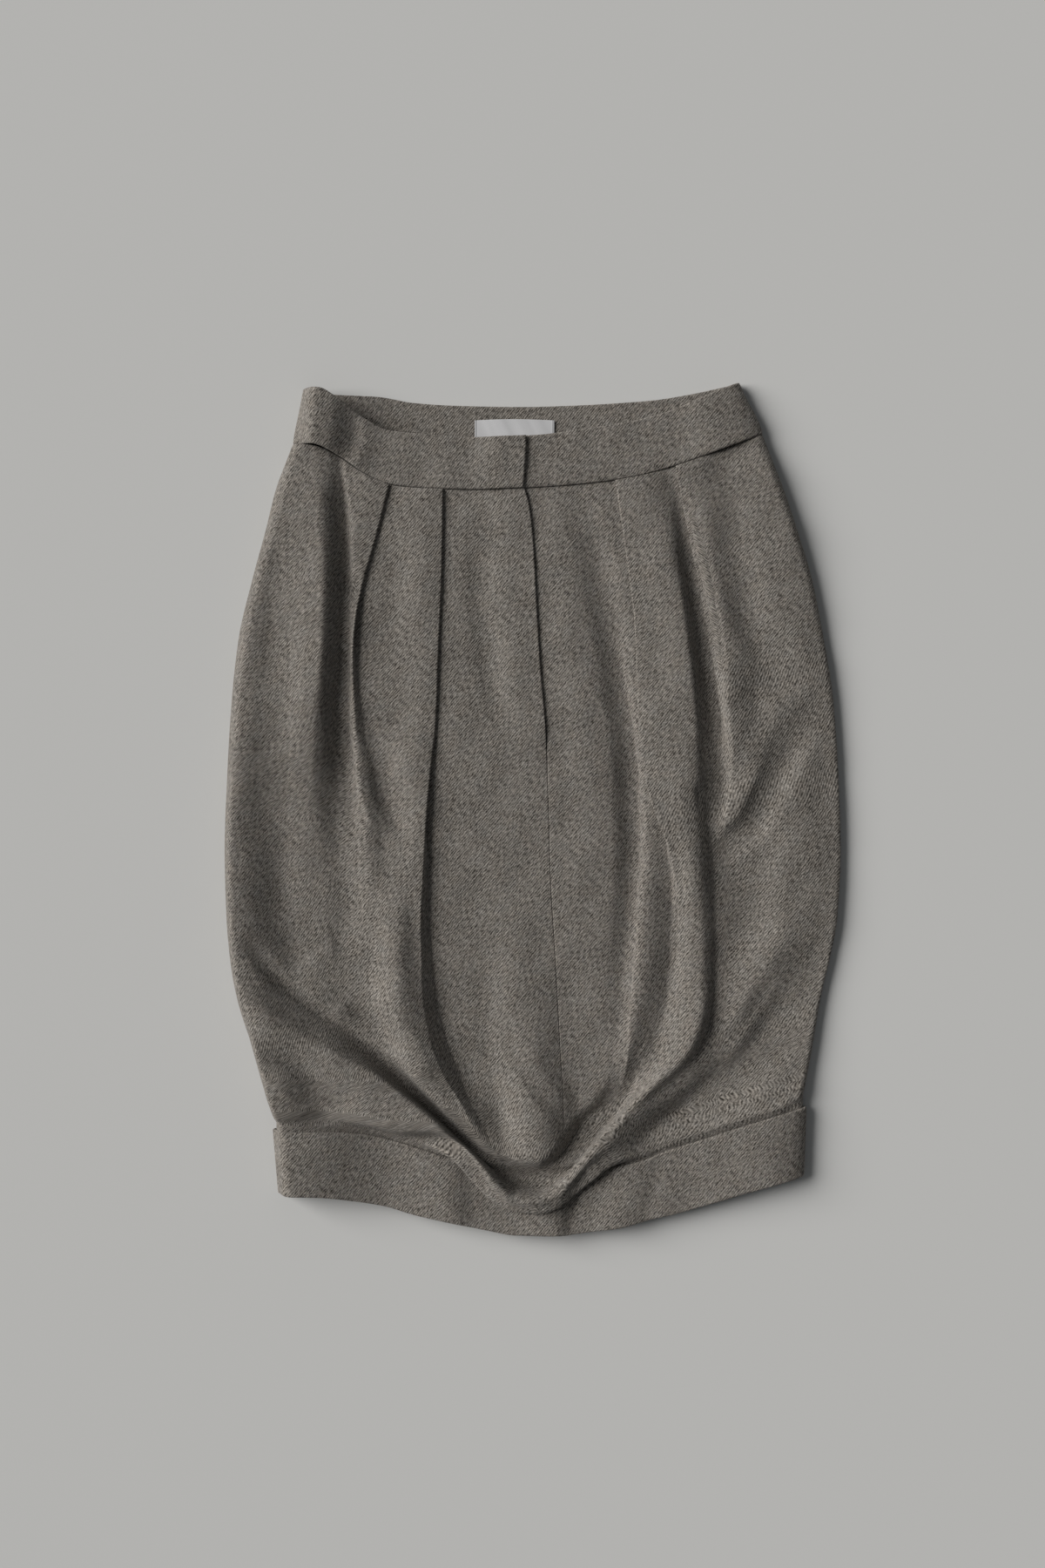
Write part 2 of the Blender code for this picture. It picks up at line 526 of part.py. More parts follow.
def back_panel(left_rows, right_rows):
    """The back: flat on the surface, and lifted over the back cuff near the hem.

    Its sides stop at the same points as those of the fronts, which it meets there.
    """
    rows = []
    turn_rows = 2 * DROOP_STEPS[0] + DROOP_STEPS[1]
    kept = [0] + list(range(2, BODY_ROWS + 1, 2)) + list(range(BODY_ROWS + turn_rows, len(left_rows)))
    for k in kept:
        left = left_rows[k, 0]
        right = right_rows[k, 0]
        across = rounded_columns(left[0], right[0], BACK_ROLL)
        chord = left[1] + (right[1] - left[1]) * (across - left[0]) / (right[0] - left[0])
        if k <= BODY_ROWS:
            share = max(k - 1, 0) / (BODY_ROWS - 1)
            top = edge_along(BACK_SEAM, across) - SEAM_GAP / 2
            bottom = edge_along(CUFF_TOP, across) + 5
            along = top + (bottom - top) * share
            ends = np.interp(across, [left[0], right[0]], [along[0], along[-1]])
            along = along + chord - ends
        else:
            tuck = (k - BODY_ROWS - turn_rows) / TUCK_ROWS
            top = edge_along(CUFF_TOP, across)
            hem = edge_along(HEM, across) + 2 * SEAM_GAP
            along = top + (hem - top) * tuck
        rise = ease((edge_along(CUFF_TOP, across) + 18 - along) / 13) * (DOUBLED + CUFF_CLEAR)
        rows.append([across, along, seam_rise(across, BACK_ROLL, CLOTH / 2 + rise)])
    return np.array(rows).transpose(0, 2, 1)


BandEnd = namedtuple("BandEnd", "along left right lap")
BAND_ENDS = [
    BandEnd(314, -168.5, 152, -4), BandEnd(300, -171, 158.5, -4), BandEnd(288, -173.5, 165, -4),
    BandEnd(276, -176, 169.5, -5), BandEnd(268, -177, 170.5, -5), BandEnd(236, -178, 171, -7),
]


def front_band(hand, body_rows):
    """Half of the front waistband, from its side seam to the lap."""
    rows = []
    name = "left" if hand < 0 else "right"
    places = plain_places(body_rows[0, :, 0])
    for share in np.linspace(0, 1, BAND_ROWS + 1):
        side_along = 309 if hand < 0 else 314
        lap_along = 274
        for _ in range(4):
            side = column(BAND_ENDS, name, side_along) - hand * DOUBLED / 2
            end = column(BAND_ENDS, "lap", lap_along) - (0 if hand < 0 else BAND_LAP)
            rolled = side - hand * rolled_steps(BAND_ROLL)
            inner = (places[1:] - places[0]) / (places[-1] - places[0])
            across = np.concatenate([rolled, rolled[-1] + (end - rolled[-1]) * inner])
            # At the seam its points are those of the front below it.
            kept = slice(len(rolled), len(across) - 1)
            across[kept] += (places[1:-1] - across[kept]) * share
            top = edge_along(FRONT_BAND_TOP, across)
            bottom = edge_along(WAIST_SEAM, across) + SEAM_GAP / 2
            along = top + (bottom - top) * share
            side_along = along[0]
            lap_along = along[-1]
        height = BAND_HIGH + fold_height(BAND_FOLDS, across, along)
        if hand < 0:
            past_lap = np.abs(across - end) - BAND_LAP - 2
            height = height + (DOUBLED + 0.5) * ease(1 - past_lap / 26)
        rows.append([across, along, side_roll(np.abs(across - side), height, BAND_ROLL)])
    return np.array(rows).transpose(0, 2, 1)


def back_band():
    """The back waistband, flat on the surface, its two ends rounding up to the side seams."""
    rows = []
    for share in np.linspace(0, 1, BAND_ROWS + 1):
        left_along = 309 + (268.5 - 309) * share
        right_along = 314 + (276 - 314) * share
        left = column(BAND_ENDS, "left", left_along) + DOUBLED / 2
        right = column(BAND_ENDS, "right", right_along) - DOUBLED / 2
        across = rounded_columns(left, right, BACK_ROLL)
        top = edge_along(BACK_BAND_TOP, across)
        bottom = edge_along(BACK_SEAM, across) + SEAM_GAP / 2
        rows.append([across, top + (bottom - top) * share,
                     seam_rise(across, BACK_ROLL, DOUBLED / 2)])
    return np.array(rows).transpose(0, 2, 1)


def cuff(in_front, left_hem, right_hem):
    """The turned-up cuff, front or back, outside the skirt's hem."""
    inner = TUCK_ROLL if in_front else BACK_ROLL
    roll = inner + (DOUBLED + CLOTH) / 2 + CUFF_CLEAR
    places = np.concatenate([plain_places(left_hem[:, 0]), plain_places(right_hem[:, 0])[::-1]])
    clear = roll + DOUBLED + 6
    left_end, right_end = CUFF_ENDS[-1].hem_side, CUFF_ENDS[1].hem_side
    middle = places[(places > left_end + clear) & (places < right_end - clear)]
    middle = middle[np.concatenate([[True], np.diff(middle) > 1])]
    rows = []
    for share in np.linspace(0, 1, CUFF_ROWS + 1):
        ends = [cuff_side(hand, end.top_along + (end.hem_along - end.top_along) * share)
                for hand, end in CUFF_ENDS.items()]
        left = ends[0] + DOUBLED / 2
        right = ends[1] - DOUBLED / 2
        steps = rolled_steps(roll)
        across = np.concatenate([left + steps, middle, (right - steps)[::-1]])
        top = edge_along(CUFF_TOP, across)
        bottom = edge_along(HEM, across)
        along = top + (bottom - top) * share
        if in_front:
            level = HEM_HIGH + (DOUBLED + CLOTH) / 2 + CUFF_CLEAR
            level = level + fold_height(CUFF_FOLDS, across, along)
            height = side_roll(np.minimum(across - left, right - across), level, roll)
            height[-1] = SIDE_SEAM_HIGH
        else:
            height = seam_rise(across, roll, DOUBLED / 2)
        rows.append([across, along, height])
    return np.array(rows).transpose(0, 2, 1)


def label():
    """The woven label, lying on the inside of the back band."""
    across, along = np.meshgrid(LABEL_LEFT + np.linspace(0, LABEL_WIDE, 7),
                                LABEL_TOP - np.linspace(0, LABEL_TALL, 3))
    level = DOUBLED + SEAM_GAP + LABEL_THICK / 2
    return np.stack([across, along, np.full(across.shape, level)], axis=2)


# Making the pieces ----------------------------------------------------------------------------
def wool(name, colour, roughness):
    """A plain cloth finish."""
    material = bpy.data.materials.new(name)
    material.use_nodes = True
    shader = material.node_tree.nodes["Principled BSDF"]
    shader.inputs["Base Color"].default_value = (*colour, 1.0)
    shader.inputs["Roughness"].default_value = roughness
    shader.inputs["Metallic"].default_value = 0.0
    return material


def cloth_piece(name, middle, thickness, material):
    """A wall of cloth: a grid whose points are the wall's middle, thickened both ways."""
    rows, columns, _ = middle.shape
    mesh = bpy.data.meshes.new(name)
    grid = bmesh.new()
    bmesh.ops.create_grid(grid, x_segments=columns - 1, y_segments=rows - 1, size=0.5)
    grid.verts.ensure_lookup_table()
    places = middle[::-1].reshape(-1, 3) * MM
    for vert, place in zip(grid.verts, places):
        vert.co = place
    grid.to_mesh(mesh)
    grid.free()
    piece = bpy.data.objects.new(name, mesh)
    bpy.context.scene.collection.objects.link(piece)
    piece.data.materials.append(material)
    mesh.shade_smooth()
    wall = piece.modifiers.new("wall", "SOLIDIFY")
    wall.thickness = thickness * MM
    wall.offset = 0.0
    return piece


for old in list(bpy.data.objects):
    bpy.data.objects.remove(old)

tweed = wool("grey wool twill", (0.13, 0.12, 0.11), 0.9)
satin = wool("label satin", (0.62, 0.62, 0.63), 0.45)

left_front = front_half(-1)
right_front = front_half(1)
cloth_piece("front_left", left_front, CLOTH, tweed)
cloth_piece("front_right", right_front[:, ::-1], CLOTH, tweed)
cloth_piece("back", back_panel(left_front, right_front), CLOTH, tweed)
cloth_piece("waistband_front_left", front_band(-1, left_front), DOUBLED, tweed)
cloth_piece("waistband_front_right", front_band(1, right_front)[:, ::-1], DOUBLED, tweed)
cloth_piece("waistband_back", back_band(), DOUBLED, tweed)
cloth_piece("cuff_front", cuff(True, left_front[-1], right_front[-1]), DOUBLED, tweed)
cloth_piece("cuff_back", cuff(False, left_front[-1], right_front[-1]), DOUBLED, tweed)
cloth_piece("label", label(), LABEL_THICK, satin)
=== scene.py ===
"""The balloon skirt's looks: wool twill cloth and a satin label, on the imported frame.

Tables and sizes are in millimetres, as a pattern cutter writes them, and meshes in metres.
Across is +X to the viewer's right, along is +Y towards the waist, and up is +Z.
"""
from collections import namedtuple
import math

import bmesh
import bpy
import numpy as np
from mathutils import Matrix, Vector


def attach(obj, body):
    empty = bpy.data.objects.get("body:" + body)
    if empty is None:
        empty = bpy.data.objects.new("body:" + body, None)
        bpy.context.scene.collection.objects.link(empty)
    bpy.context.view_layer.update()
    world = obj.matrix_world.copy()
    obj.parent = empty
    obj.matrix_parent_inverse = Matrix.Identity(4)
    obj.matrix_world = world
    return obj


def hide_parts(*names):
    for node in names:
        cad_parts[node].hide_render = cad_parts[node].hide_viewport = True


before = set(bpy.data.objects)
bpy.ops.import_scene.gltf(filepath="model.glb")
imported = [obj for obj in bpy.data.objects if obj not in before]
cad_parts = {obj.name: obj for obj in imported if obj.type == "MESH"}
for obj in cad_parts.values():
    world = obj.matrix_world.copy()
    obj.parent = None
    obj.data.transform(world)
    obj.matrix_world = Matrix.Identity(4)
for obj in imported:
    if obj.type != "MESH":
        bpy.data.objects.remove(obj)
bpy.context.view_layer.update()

MM = 0.001


# The two fronts ------------------------------------------------------------------------------
# Each half front is one piece of grey wool twill. Two pressed pleats are caught in the waist
# seam of each half and open towards the hem, where the fullness droops over the cuff and turns
# back under itself into it.
CLOTH = 0.9              # one layer, pressed
DOUBLED = 2.4            # waistband and cuff, two layers of the cloth
SEAM_GAP = 0.3
FLY_LAP = 15.0           # how far the right front runs under the left one
FLY_FOOT = 72.0          # the lap ends here and a plain seam goes on to the hem
SIDE_SEAM_HIGH = 5.5
FRONT_HIGH = 11.4        # middle of the wall where no fold lifts it
HEM_HIGH = 9.9           # middle of the wall inside the cuff
PLEAT_TURN = 0.7         # radius where a pleat doubles back
LIP_TURN = 3.6           # radius of the droop's lower edge
CUFF_TURN = 2.2          # radius where the front passes round the cuff's top edge
SHORTEST_TURN = 1.2      # least length given to a turn where a fold has opened flat
SEAM_STRIP = 0.9         # upright strip along a side seam
LAYER_CLEAR = 0.5        # between a doubled piece and the layer under it
TURN_CLEAR = 0.6         # between the cuff's top edge and the front's turn into the cuff
DROOP_FLOOR = HEM_HIGH + 2 * CUFF_TURN + 1.5 * CLOTH     # the front lies on its own turned hem
TUCK_ROLL = 9.0
PLEAT_HOLD = 2.0         # the cloth on a pleat's layers stays as high this far past them
PLEAT_CLEAR = 2.0        # a column of points lies this far past each end of a pleat's layers
LAP_LIFT = 2.0           # the left front's rise over the right one at the fly
RIM_REACH = 0.05         # the least share of the half thickness that an edge rounds over from
PRESSED_COLUMNS = 3      # beside the centre seam, where the wall stays nearly full
PRESSED_FULL = 0.85
HEM_PUFF = 2.2           # how far the gathered fullness stands up just above the cuff
SOFTNESS = 0.8           # of the cloth's bend where it settles on what lies under it
SEAM_DIP = 0.5           # the cloth is drawn down this much along a sewn seam
CENTRE_DIP = 0.12        # and this much along the centre seam, which is pressed flat
SEAM_DIP_WIDE = 2.2
SEAM_COVER = 2.4         # how far the front stands up over its seam with the cuff
CREST_BLEND = 6.0        # a fold's two widths blend this near its crest
FRONT_TOP = 236.0        # about where the front starts and ends at its middle
FRONT_LOW = -292.0
FRONT_LONG = 530.0

# Where points lie: fine at edges and turns, and plain between them.
TOP_STEPS = (0, 0.3, 1.0, 2.0, 4.0)
BODY_ROWS = 236
TUCK_ROWS = 8
ROLL_STEPS = 9
PLAIN_STEPS = (50, 24, 44)   # side to outer pleat, to inner pleat, to fly
FLY_FINER = 1.25             # the last steps shrink towards the fly by this power
PLEAT_STEPS = (7, 4)         # round each turn, and along the layer between them
DROOP_STEPS = (8, 6)
STOP_STEPS = 6               # from one stop of a fold's path to the next

# Stretches over which something grows: where there is none of it yet, and where all of it.
Stretch = namedtuple("Stretch", "none full")
GATHERED = Stretch(150, 120)      # from the centre: the front's hem, inside the cuff
NEAR_CUFF = Stretch(30, 10)       # above the cuff's top edge
DROOPING = Stretch(72, 56)        # from the centre: the front lies on its own turned hem
ON_TURNED_HEM = Stretch(13, 4)    # above the cuff's top edge
PUFF_FOOT = Stretch(0, 4)         # above the cuff's top edge: the fullness starts
PUFF_TOP = Stretch(26, 6)         # and ends
OFF_DROOP = Stretch(1.5, 0)       # how far the droop has dropped
OFF_SIDE = Stretch(0, 18)         # from the side seam
HEM_SETTLES = Stretch(5.5, 0)     # above the front's lowest edge
PLEAT_SETTLES = Stretch(26, 0)    # beyond the pleat's hold
LAP_RUNS_UNDER = Stretch(-6, 6)   # above the fly's foot
LAP_STEPS_IN = Stretch(-50, -34)  # above the fly's foot
LAP_RISES = Stretch(-34, -8)      # above the fly's foot
LAP_SETTLES = Stretch(22, 0)      # beyond the cloth that runs under
CENTRE_SEWN = Stretch(-4, -14)    # above the fly's foot


def table(row, rows):
    """Rows of plain numbers, with their columns named."""
    return [row(*numbers) for numbers in rows]


# The skirt's halves, as the viewer sees them.
HANDS = {-1: "left", 1: "right"}

# The skirt's two sides, at each level.
Sides = namedtuple("Sides", "along left right")
SIDES = table(Sides, [
    (276, -174, 169), (258, -181, 176), (235, -189.5, 185), (205, -197, 195), (170, -206.5, 205.5),
    (125, -217, 214.5), (80, -222, 221.5), (30, -225, 225), (-30, -227, 227), (-80, -225.5, 224.5),
    (-110, -223, 219), (-140, -217.5, 212), (-170, -208, 207), (-200, -199.5, 201.5),
    (-214, -196, 199), (-231, -189.1, 199),
])

# Edges of the pattern, each a smooth curve through its points.
Edge = namedtuple("Edge", "across along")
WAIST_SEAM = table(Edge, [
    (-177, 268.5), (-160, 266.5), (-143, 259), (-125, 247), (-106, 238.5), (-80, 235.5),
    (-40, 234.5), (0, 236), (40, 239), (75, 244), (105, 252), (135, 262.5), (155, 270), (170, 276),
])
CUFF_TOP = table(Edge, [
    (-192, -236), (-150, -236.5), (-124, -239), (-102, -244), (-80, -250.5), (-60, -256.5),
    (-35, -263), (0, -266.5), (35, -265.5), (63, -262.5), (81, -258.5), (97, -252), (122, -244),
    (150, -234.5), (202, -219),
])
HEM = table(Edge, [
    (-189, -283), (-157, -284), (-132, -287.5), (-109, -292), (-88, -298), (-60, -304), (-33, -310),
    (-12, -313.5), (22, -313.5), (41, -311), (63, -308), (86, -302), (104, -298), (125, -292),
    (154, -283), (201, -270),
])

# The cuff's two ends: where its top and its hem lie along the skirt, and across it.
CuffEnd = namedtuple("CuffEnd", "top hem top_side hem_side")
CUFF_ENDS = {-1: CuffEnd(-236.0, -283.0, -192.0, -188.0), 1: CuffEnd(-219.0, -270.0, 202.0, 200.0)}

# How wide the cloth rounds down to each side seam.
SideRoll = namedtuple("SideRoll", "along left right")
SIDE_ROLLS = table(SideRoll, [
    (276, 9, 7), (120, 9, 4.5), (-60, 6.5, 4), (-160, 5.5, 4), (-215, 5, 4),
])

# The line down the front where the halves meet: the fly's edge, then the centre seam.
FLY = table(Edge, [
    (-7, 238), (-3, 224), (0, 200), (3, 146), (6, 98), (9, 64), (11.5, 0), (13, -50), (16.5, -110),
    (20, -175), (22.5, -225), (21, -255), (14, -277), (6, -294), (2, -315),
])

# One row for each level of a pleat: where its fold edge lies, how far its cloth has turned
# (180 is doubled back flat, less has opened to a slope), and how much cloth lies in the turn.
Pleat = namedtuple("Pleat", "along across turned depth")
LEFT_INNER_PLEAT = table(Pleat, [
    (240, -67, 180, 9), (178, -68, 180, 8), (114, -70.5, 180, 7), (63, -72.5, 180, 6),
    (31, -76, 165, 5), (-5, -79, 110, 4.5), (-40, -81, 68, 6), (-85, -83, 52, 9),
    (-130, -82, 42, 12), (-165, -77, 34, 14), (-195, -66, 26, 16), (-222, -50, 16, 14),
    (-250, -38, 0, 6), (-310, -36, 0, 3),
])
LEFT_OUTER_PLEAT = table(Pleat, [
    (245, -105, 180, 9), (201, -116, 180, 7.5), (165, -126, 175, 5), (138, -131, 130, 4),
    (108, -133, 75, 4), (70, -131, 35, 5), (25, -127, 0, 5), (-60, -119, 0, 3), (-150, -112, 0, 3),
    (-250, -108, 0, 3),
])
RIGHT_INNER_PLEAT = table(Pleat, [
    (245, 61, 180, 9), (197, 68, 180, 9), (153, 74, 180, 8), (89, 80.5, 180, 6.5),
    (44, 86, 175, 5.5), (5, 93, 150, 4.5), (-30, 101, 85, 4), (-60, 107, 40, 4), (-90, 108, 0, 4),
    (-160, 92, 0, 3), (-230, 72, 0, 3), (-310, 60, 0, 3),
])
RIGHT_OUTER_PLEAT = table(Pleat, [
    (262, 104, 180, 9), (210, 114, 180, 9), (172, 122, 180, 8), (140, 128, 180, 7),
    (108, 134, 165, 5.5), (75, 139, 110, 4.5), (45, 143, 45, 4), (15, 146, 0, 4), (-60, 150, 0, 3),
    (-250, 140, 0, 3),
])
PLEATS = {-1: (LEFT_OUTER_PLEAT, LEFT_INNER_PLEAT), 1: (RIGHT_OUTER_PLEAT, RIGHT_INNER_PLEAT)}

# Where the front droops over the cuff: its lowest edge, and how far it has turned under.
Droop = namedtuple("Droop", "across turned depth")
DROOP = table(Droop, [
    (-240, 0, 2), (-112, 0, 2), (-96, 18, 2), (-82, 45, 2), (-70, 78, 2.5), (-60, 112, 3.5),
    (-52, 146, 5), (-45, 176, 8), (-36.5, 180, 15), (-26, 180, 21.5), (-12, 180, 25.5),
    (4, 180, 26), (18, 180, 22.5), (32, 180, 13), (42, 168, 6.5), (52, 128, 4), (64, 84, 3),
    (78, 45, 2), (94, 18, 2), (110, 0, 2), (240, 0, 2),
])

# Soft folds. Each runs along its path, and its height fades to nothing over one width on the
# right hand of someone who walks the path and over another on the left hand. A trough has a
# rise below 0.
Stop = namedtuple("Stop", "across along rise")
Fold = namedtuple("Fold", "name right_hand left_hand path")


def fold_table(rows):
    """Folds whose paths are tables of stops."""
    return [Fold(name, right_hand, left_hand, table(Stop, path))
            for name, right_hand, left_hand, path in rows]


FRONT_FOLDS = fold_table([
    ("left outer swell", 26, 34, [
        (-186, 262, 3), (-192, 215, 6), (-203, 150, 7), (-209, 90, 7), (-212, 30, 5),
        (-212, -20, 2)]),
    ("left side swell", 40, 20, [
        (-152, 262, 4), (-152, 220, 8.5), (-153.5, 170, 12.5), (-156, 120, 13), (-162, 70, 12),
        (-164, 20, 8), (-158, -30, 4), (-150, -80, 2)]),
    ("left trough", 18, 6, [
        (-144, 260, -2), (-140, 228, -6), (-138, 195, -8), (-137.5, 150, -9), (-138, 110, -9),
        (-138, 75, -9), (-136, 45, -7), (-132, 15, -4), (-125, -12, -1)]),
    ("ridge under the left outer pleat", 10, 13, [
        (-131, 85, 0.5), (-129.5, 55, 2), (-127.5, 25, 3), (-124, -5, 2.8), (-120, -40, 1.5),
        (-117, -75, 0.5)]),
    ("left panel swell", 36, 22, [
        (-122, 10, 1), (-114, -40, 4), (-108, -85, 5.5), (-101, -125, 5.5), (-92, -155, 4),
        (-80, -180, 1)]),
    ("crease to the left inner pleat", 11, 20, [
        (-122, 62, -0.5), (-114, 35, -2), (-108, 8, -3), (-98, -11, -3), (-87, -22, -1.5)]),
    ("left rim", 9, 46, [
        (-216, 90, 1), (-222, 40, 6), (-224.5, -15, 10), (-223.5, -65, 13), (-219, -105, 13),
        (-213, -135, 10), (-207, -158, 5)]),
    ("left roll", 9, 28, [
        (-112, -118, 0.5), (-106, -145, 1.5), (-97, -172, 3), (-81, -199, 6), (-61, -224.5, 8),
        (-41, -246.5, 9), (-22, -264, 7)]),
    ("valley over the garland", 9, 10, [
        (-208, -98, -1), (-190, -122, -4), (-164, -144, -5), (-136, -164, -6), (-112, -186, -8),
        (-90, -208, -10), (-69, -228, -12), (-48, -248, -12), (-30, -264, -10), (-14, -274, -6)]),
    ("broad side of the garland", 22, 78, [
        (-216, -112, 3), (-204, -138, 8), (-176, -162, 10), (-146, -182, 9), (-116, -202, 5),
        (-92, -222, 1)]),
    ("basin over the garland", 24, 20, [
        (-140, -146, -2), (-122, -158, -6), (-107, -170, -6), (-97, -184, -3)]),
    ("left garland", 70, 15, [
        (-216, -128, 1), (-204, -143, 4), (-172, -165, 9), (-144, -183, 11), (-120, -199, 12.5),
        (-99, -217.5, 15), (-78, -237, 17.5), (-58, -255, 18), (-42, -268, 18.5), (-28, -278, 17.5),
        (-15, -284.5, 16), (-4, -287.5, 13), (6, -288.5, 8.5), (15, -287, 3.5), (23, -284, 0.5)]),
    ("ridge by the left side", 10, 36, [
        (-216, -146, 2), (-206, -180, 12), (-191, -208, 13), (-183, -236, 13)]),
    ("bottom swell", 28, 34, [
        (-14, -100, 1), (-10, -150, 4), (-5, -190, 8), (0, -215, 11), (3, -238, 13),
        (4, -252, 12)]),
    ("crevice inside the lip", 9, 17, [
        (-30, -262, -4), (-18, -268, -14), (-6, -272, -22), (5, -274, -24), (18, -268, -20),
        (31, -254, -12), (43, -234, -5)]),
    ("crease over the bottom swell", 8, 12, [
        (-18, -174, -0.5), (-8, -190, -1.6), (3, -207, -1.8), (17, -221, -1.6), (28, -231, -0.5)]),
    ("centre left valley", 14, 16, [
        (-42, 205, -0.5), (-39, 165, -1.8), (-35, 125, -2.2), (-28, 90, -1.6), (-20, 60, -0.5)]),
    ("centre right valley", 20, 15, [
        (36, 225, -1), (45, 195, -2.5), (54, 158, -3.5), (61, 125, -4), (67, 92, -5),
        (73, 55, -5.5), (77, 12, -6.5), (77.5, -30, -6.5), (75.5, -68, -5), (73, -110, -3.5),
        (70, -150, -1)]),
    ("swell right of the fly", 18, 26, [
        (20, 215, 1), (26, 165, 1.5), (32, 115, 1.5), (38, 65, 1.2), (40, 10, 1.2), (38, -45, 1),
        (34, -90, 0.5)]),
    ("right middle ridge", 17, 24, [
        (84, 85, 0.5), (88, 45, 1.5), (88.5, 0, 2.8), (87.5, -50, 3.2), (84, -99, 3.8),
        (79.5, -148, 4.2), (75, -190, 4.2), (70, -214, 2.5)]),
    ("valley between the right ridges", 14, 13, [
        (93, 35, -0.5), (99, -1, -1.5), (104, -50, -2.5), (102, -99, -3), (94, -148, -3.5),
        (81, -198, -4), (71, -219, -2)]),
    ("right roll", 24, 13, [
        (112, 45, 1), (117, 12, 3.5), (119, -27, 4.5), (121, -66, 5), (122, -99, 5.5),
        (122, -130, 6.5), (120, -154, 7), (113, -172, 5), (104, -188, 1)]),
    ("right roll's end", 16, 18, [
        (122, -154, 0.5), (115, -176, 2.5), (97, -203, 5), (77, -227, 8.5), (56, -249, 11.5),
        (38, -269, 13), (24, -280, 12.5), (14, -285.5, 10.5), (5, -288.5, 7.5), (-5, -288.5, 3.5),
        (-14, -286, 0.5)]),
    ("sharp valley outside the right roll", 8, 26, [
        (129, 20, -0.5), (134, -27, -1.5), (136, -66, -1.5), (137, -99, -2), (136, -130, -3),
        (131, -158, -4.5), (121, -181, -5), (107, -201, -5), (92, -216, -4), (78, -229, -2)]),
    ("wide hollow at the lower right", 30, 24, [
        (160, 0, -1), (164, -40, -3), (162, -80, -4), (154, -112, -3), (146, -135, -1)]),
    ("pocket beside the right roll", 20, 9, [
        (80, -184, -1), (73, -203, -5), (60, -223, -9), (47, -240, -10.5), (36, -252, -6)]),
    ("swell by the right outer pleat", 26, 9, [
        (98, 232, 1), (104, 182, 4), (110, 138, 5.5), (114.5, 92, 6), (117.5, 52, 5),
        (119, 20, 3)]),
    ("wedge under the right outer pleat", 16, 7, [
        (106, 235, -1), (113, 203, -4), (121, 165, -7), (127, 132, -8), (132, 100, -8.5),
        (137, 66, -8), (140, 34, -6), (138, 4, -4), (133, -16, -2)]),
    ("soft valley at the upper right", 18, 24, [
        (134, 245, -1), (144, 200, -2), (153, 155, -3), (167, 120, -3), (182, 96, -2)]),
    ("ridge over the right crease", 15, 10, [
        (178, 72, 1), (166, 40, 2), (155, 12, 2.5), (146, -6, 2), (138, -14, 1)]),
    ("crease from the right side", 16, 15, [
        (202, 66, -1), (188, 38, -3), (174, 9, -4), (158, -17, -4), (142, -27, -3),
        (132, -33, -1)]),
    ("right side swell", 36, 26, [
        (172, 245, 2), (186, 178, 2.5), (194, 108, 2), (198, 44, 1.2), (200, -20, 1.2),
        (196, -78, 1.5), (186, -129, 0.5)]),
    ("thin right edge", 64, 30, [
        (205, 205, 0), (218, 150, -2.5), (228, 60, -3.5), (230, -30, -3.5), (226, -90, -3.5),
        (213, -150, -3), (206, -200, -2)]),
    ("right low ridge", 34, 14, [
        (198, -78, 0.5), (180, -100, 1.5), (158, -131, 3), (138, -164, 4), (115, -196, 4.5),
        (90, -222, 4), (74, -238, 1)]),
    ("right low valley", 15, 30, [
        (200, -112, -1), (184, -146, -3.5), (164, -175, -5), (141, -199, -5.5), (114, -222, -5),
        (88, -240, -3), (72, -252, -1)]),
])
# Crests that lean over a valley: each stop gives how far to the walker's left hand, or below 0
# to the right hand, in place of a rise.
OVERHANGS = fold_table([
    ("garland over its crevice", 18, 11, [
        (-160, -170, 0), (-144, -183, 2), (-120, -199, 5.5), (-99, -217, 7.5), (-77, -236, 8.5),
        (-57, -254, 8.5), (-41, -267, 7), (-28, -277, 3.5), (-16, -283, 0)]),
    ("right roll over its pocket", 13, 18, [
        (115, -176, 0), (97, -203, -4.5), (77, -227, -7.5), (56, -249, -8), (38, -269, -5.5),
        (22, -280.5, -2), (8, -287, 0)]),
    ("ridge over the centre right valley", 9, 14, [
        (66, 140, 0), (75, 92, -3.5), (83, 55, -5.5), (87.5, 12, -6.5), (88, -30, -6.5),
        (86, -68, -6.5), (83, -110, -6), (79, -150, -5), (75, -190, -3.5), (70, -214, 0)]),
])
CUFF_FOLDS = fold_table([
    ("left end ridge", 10, 74, [(-182, -232, 10), (-180, -257, 12), (-178, -290, 12)]),
    ("middle roll", 40, 20, [(-66, -248, 2), (-64, -275, 3.5), (-60, -305, 3.5)]),
    ("apex roll", 30, 16, [(12, -266, -1), (14, -280, 0.5), (15, -294, 3.5), (17, -316, 3.5)]),
    ("dip under the droop", 18, 14, [
        (-42, -262, -1), (-20, -268, -4.5), (5, -272, -5), (28, -268, -4.5), (48, -260, -1)]),
    ("dent right of the apex", 9, 9, [(33, -268, -0.6), (29, -290, -1.2), (24, -316, -1)]),
    ("right roll", 24, 22, [(72, -260, 1.5), (68, -285, 2.4), (64, -312, 2.4)]),
    ("second dent", 9, 9, [(94, -255, -0.3), (88, -280, -0.5), (84, -306, -0.3)]),
    ("right far roll", 62, 26, [(174, -226, 2.5), (173, -250, 3.5), (172, -282, 3.5)]),
])

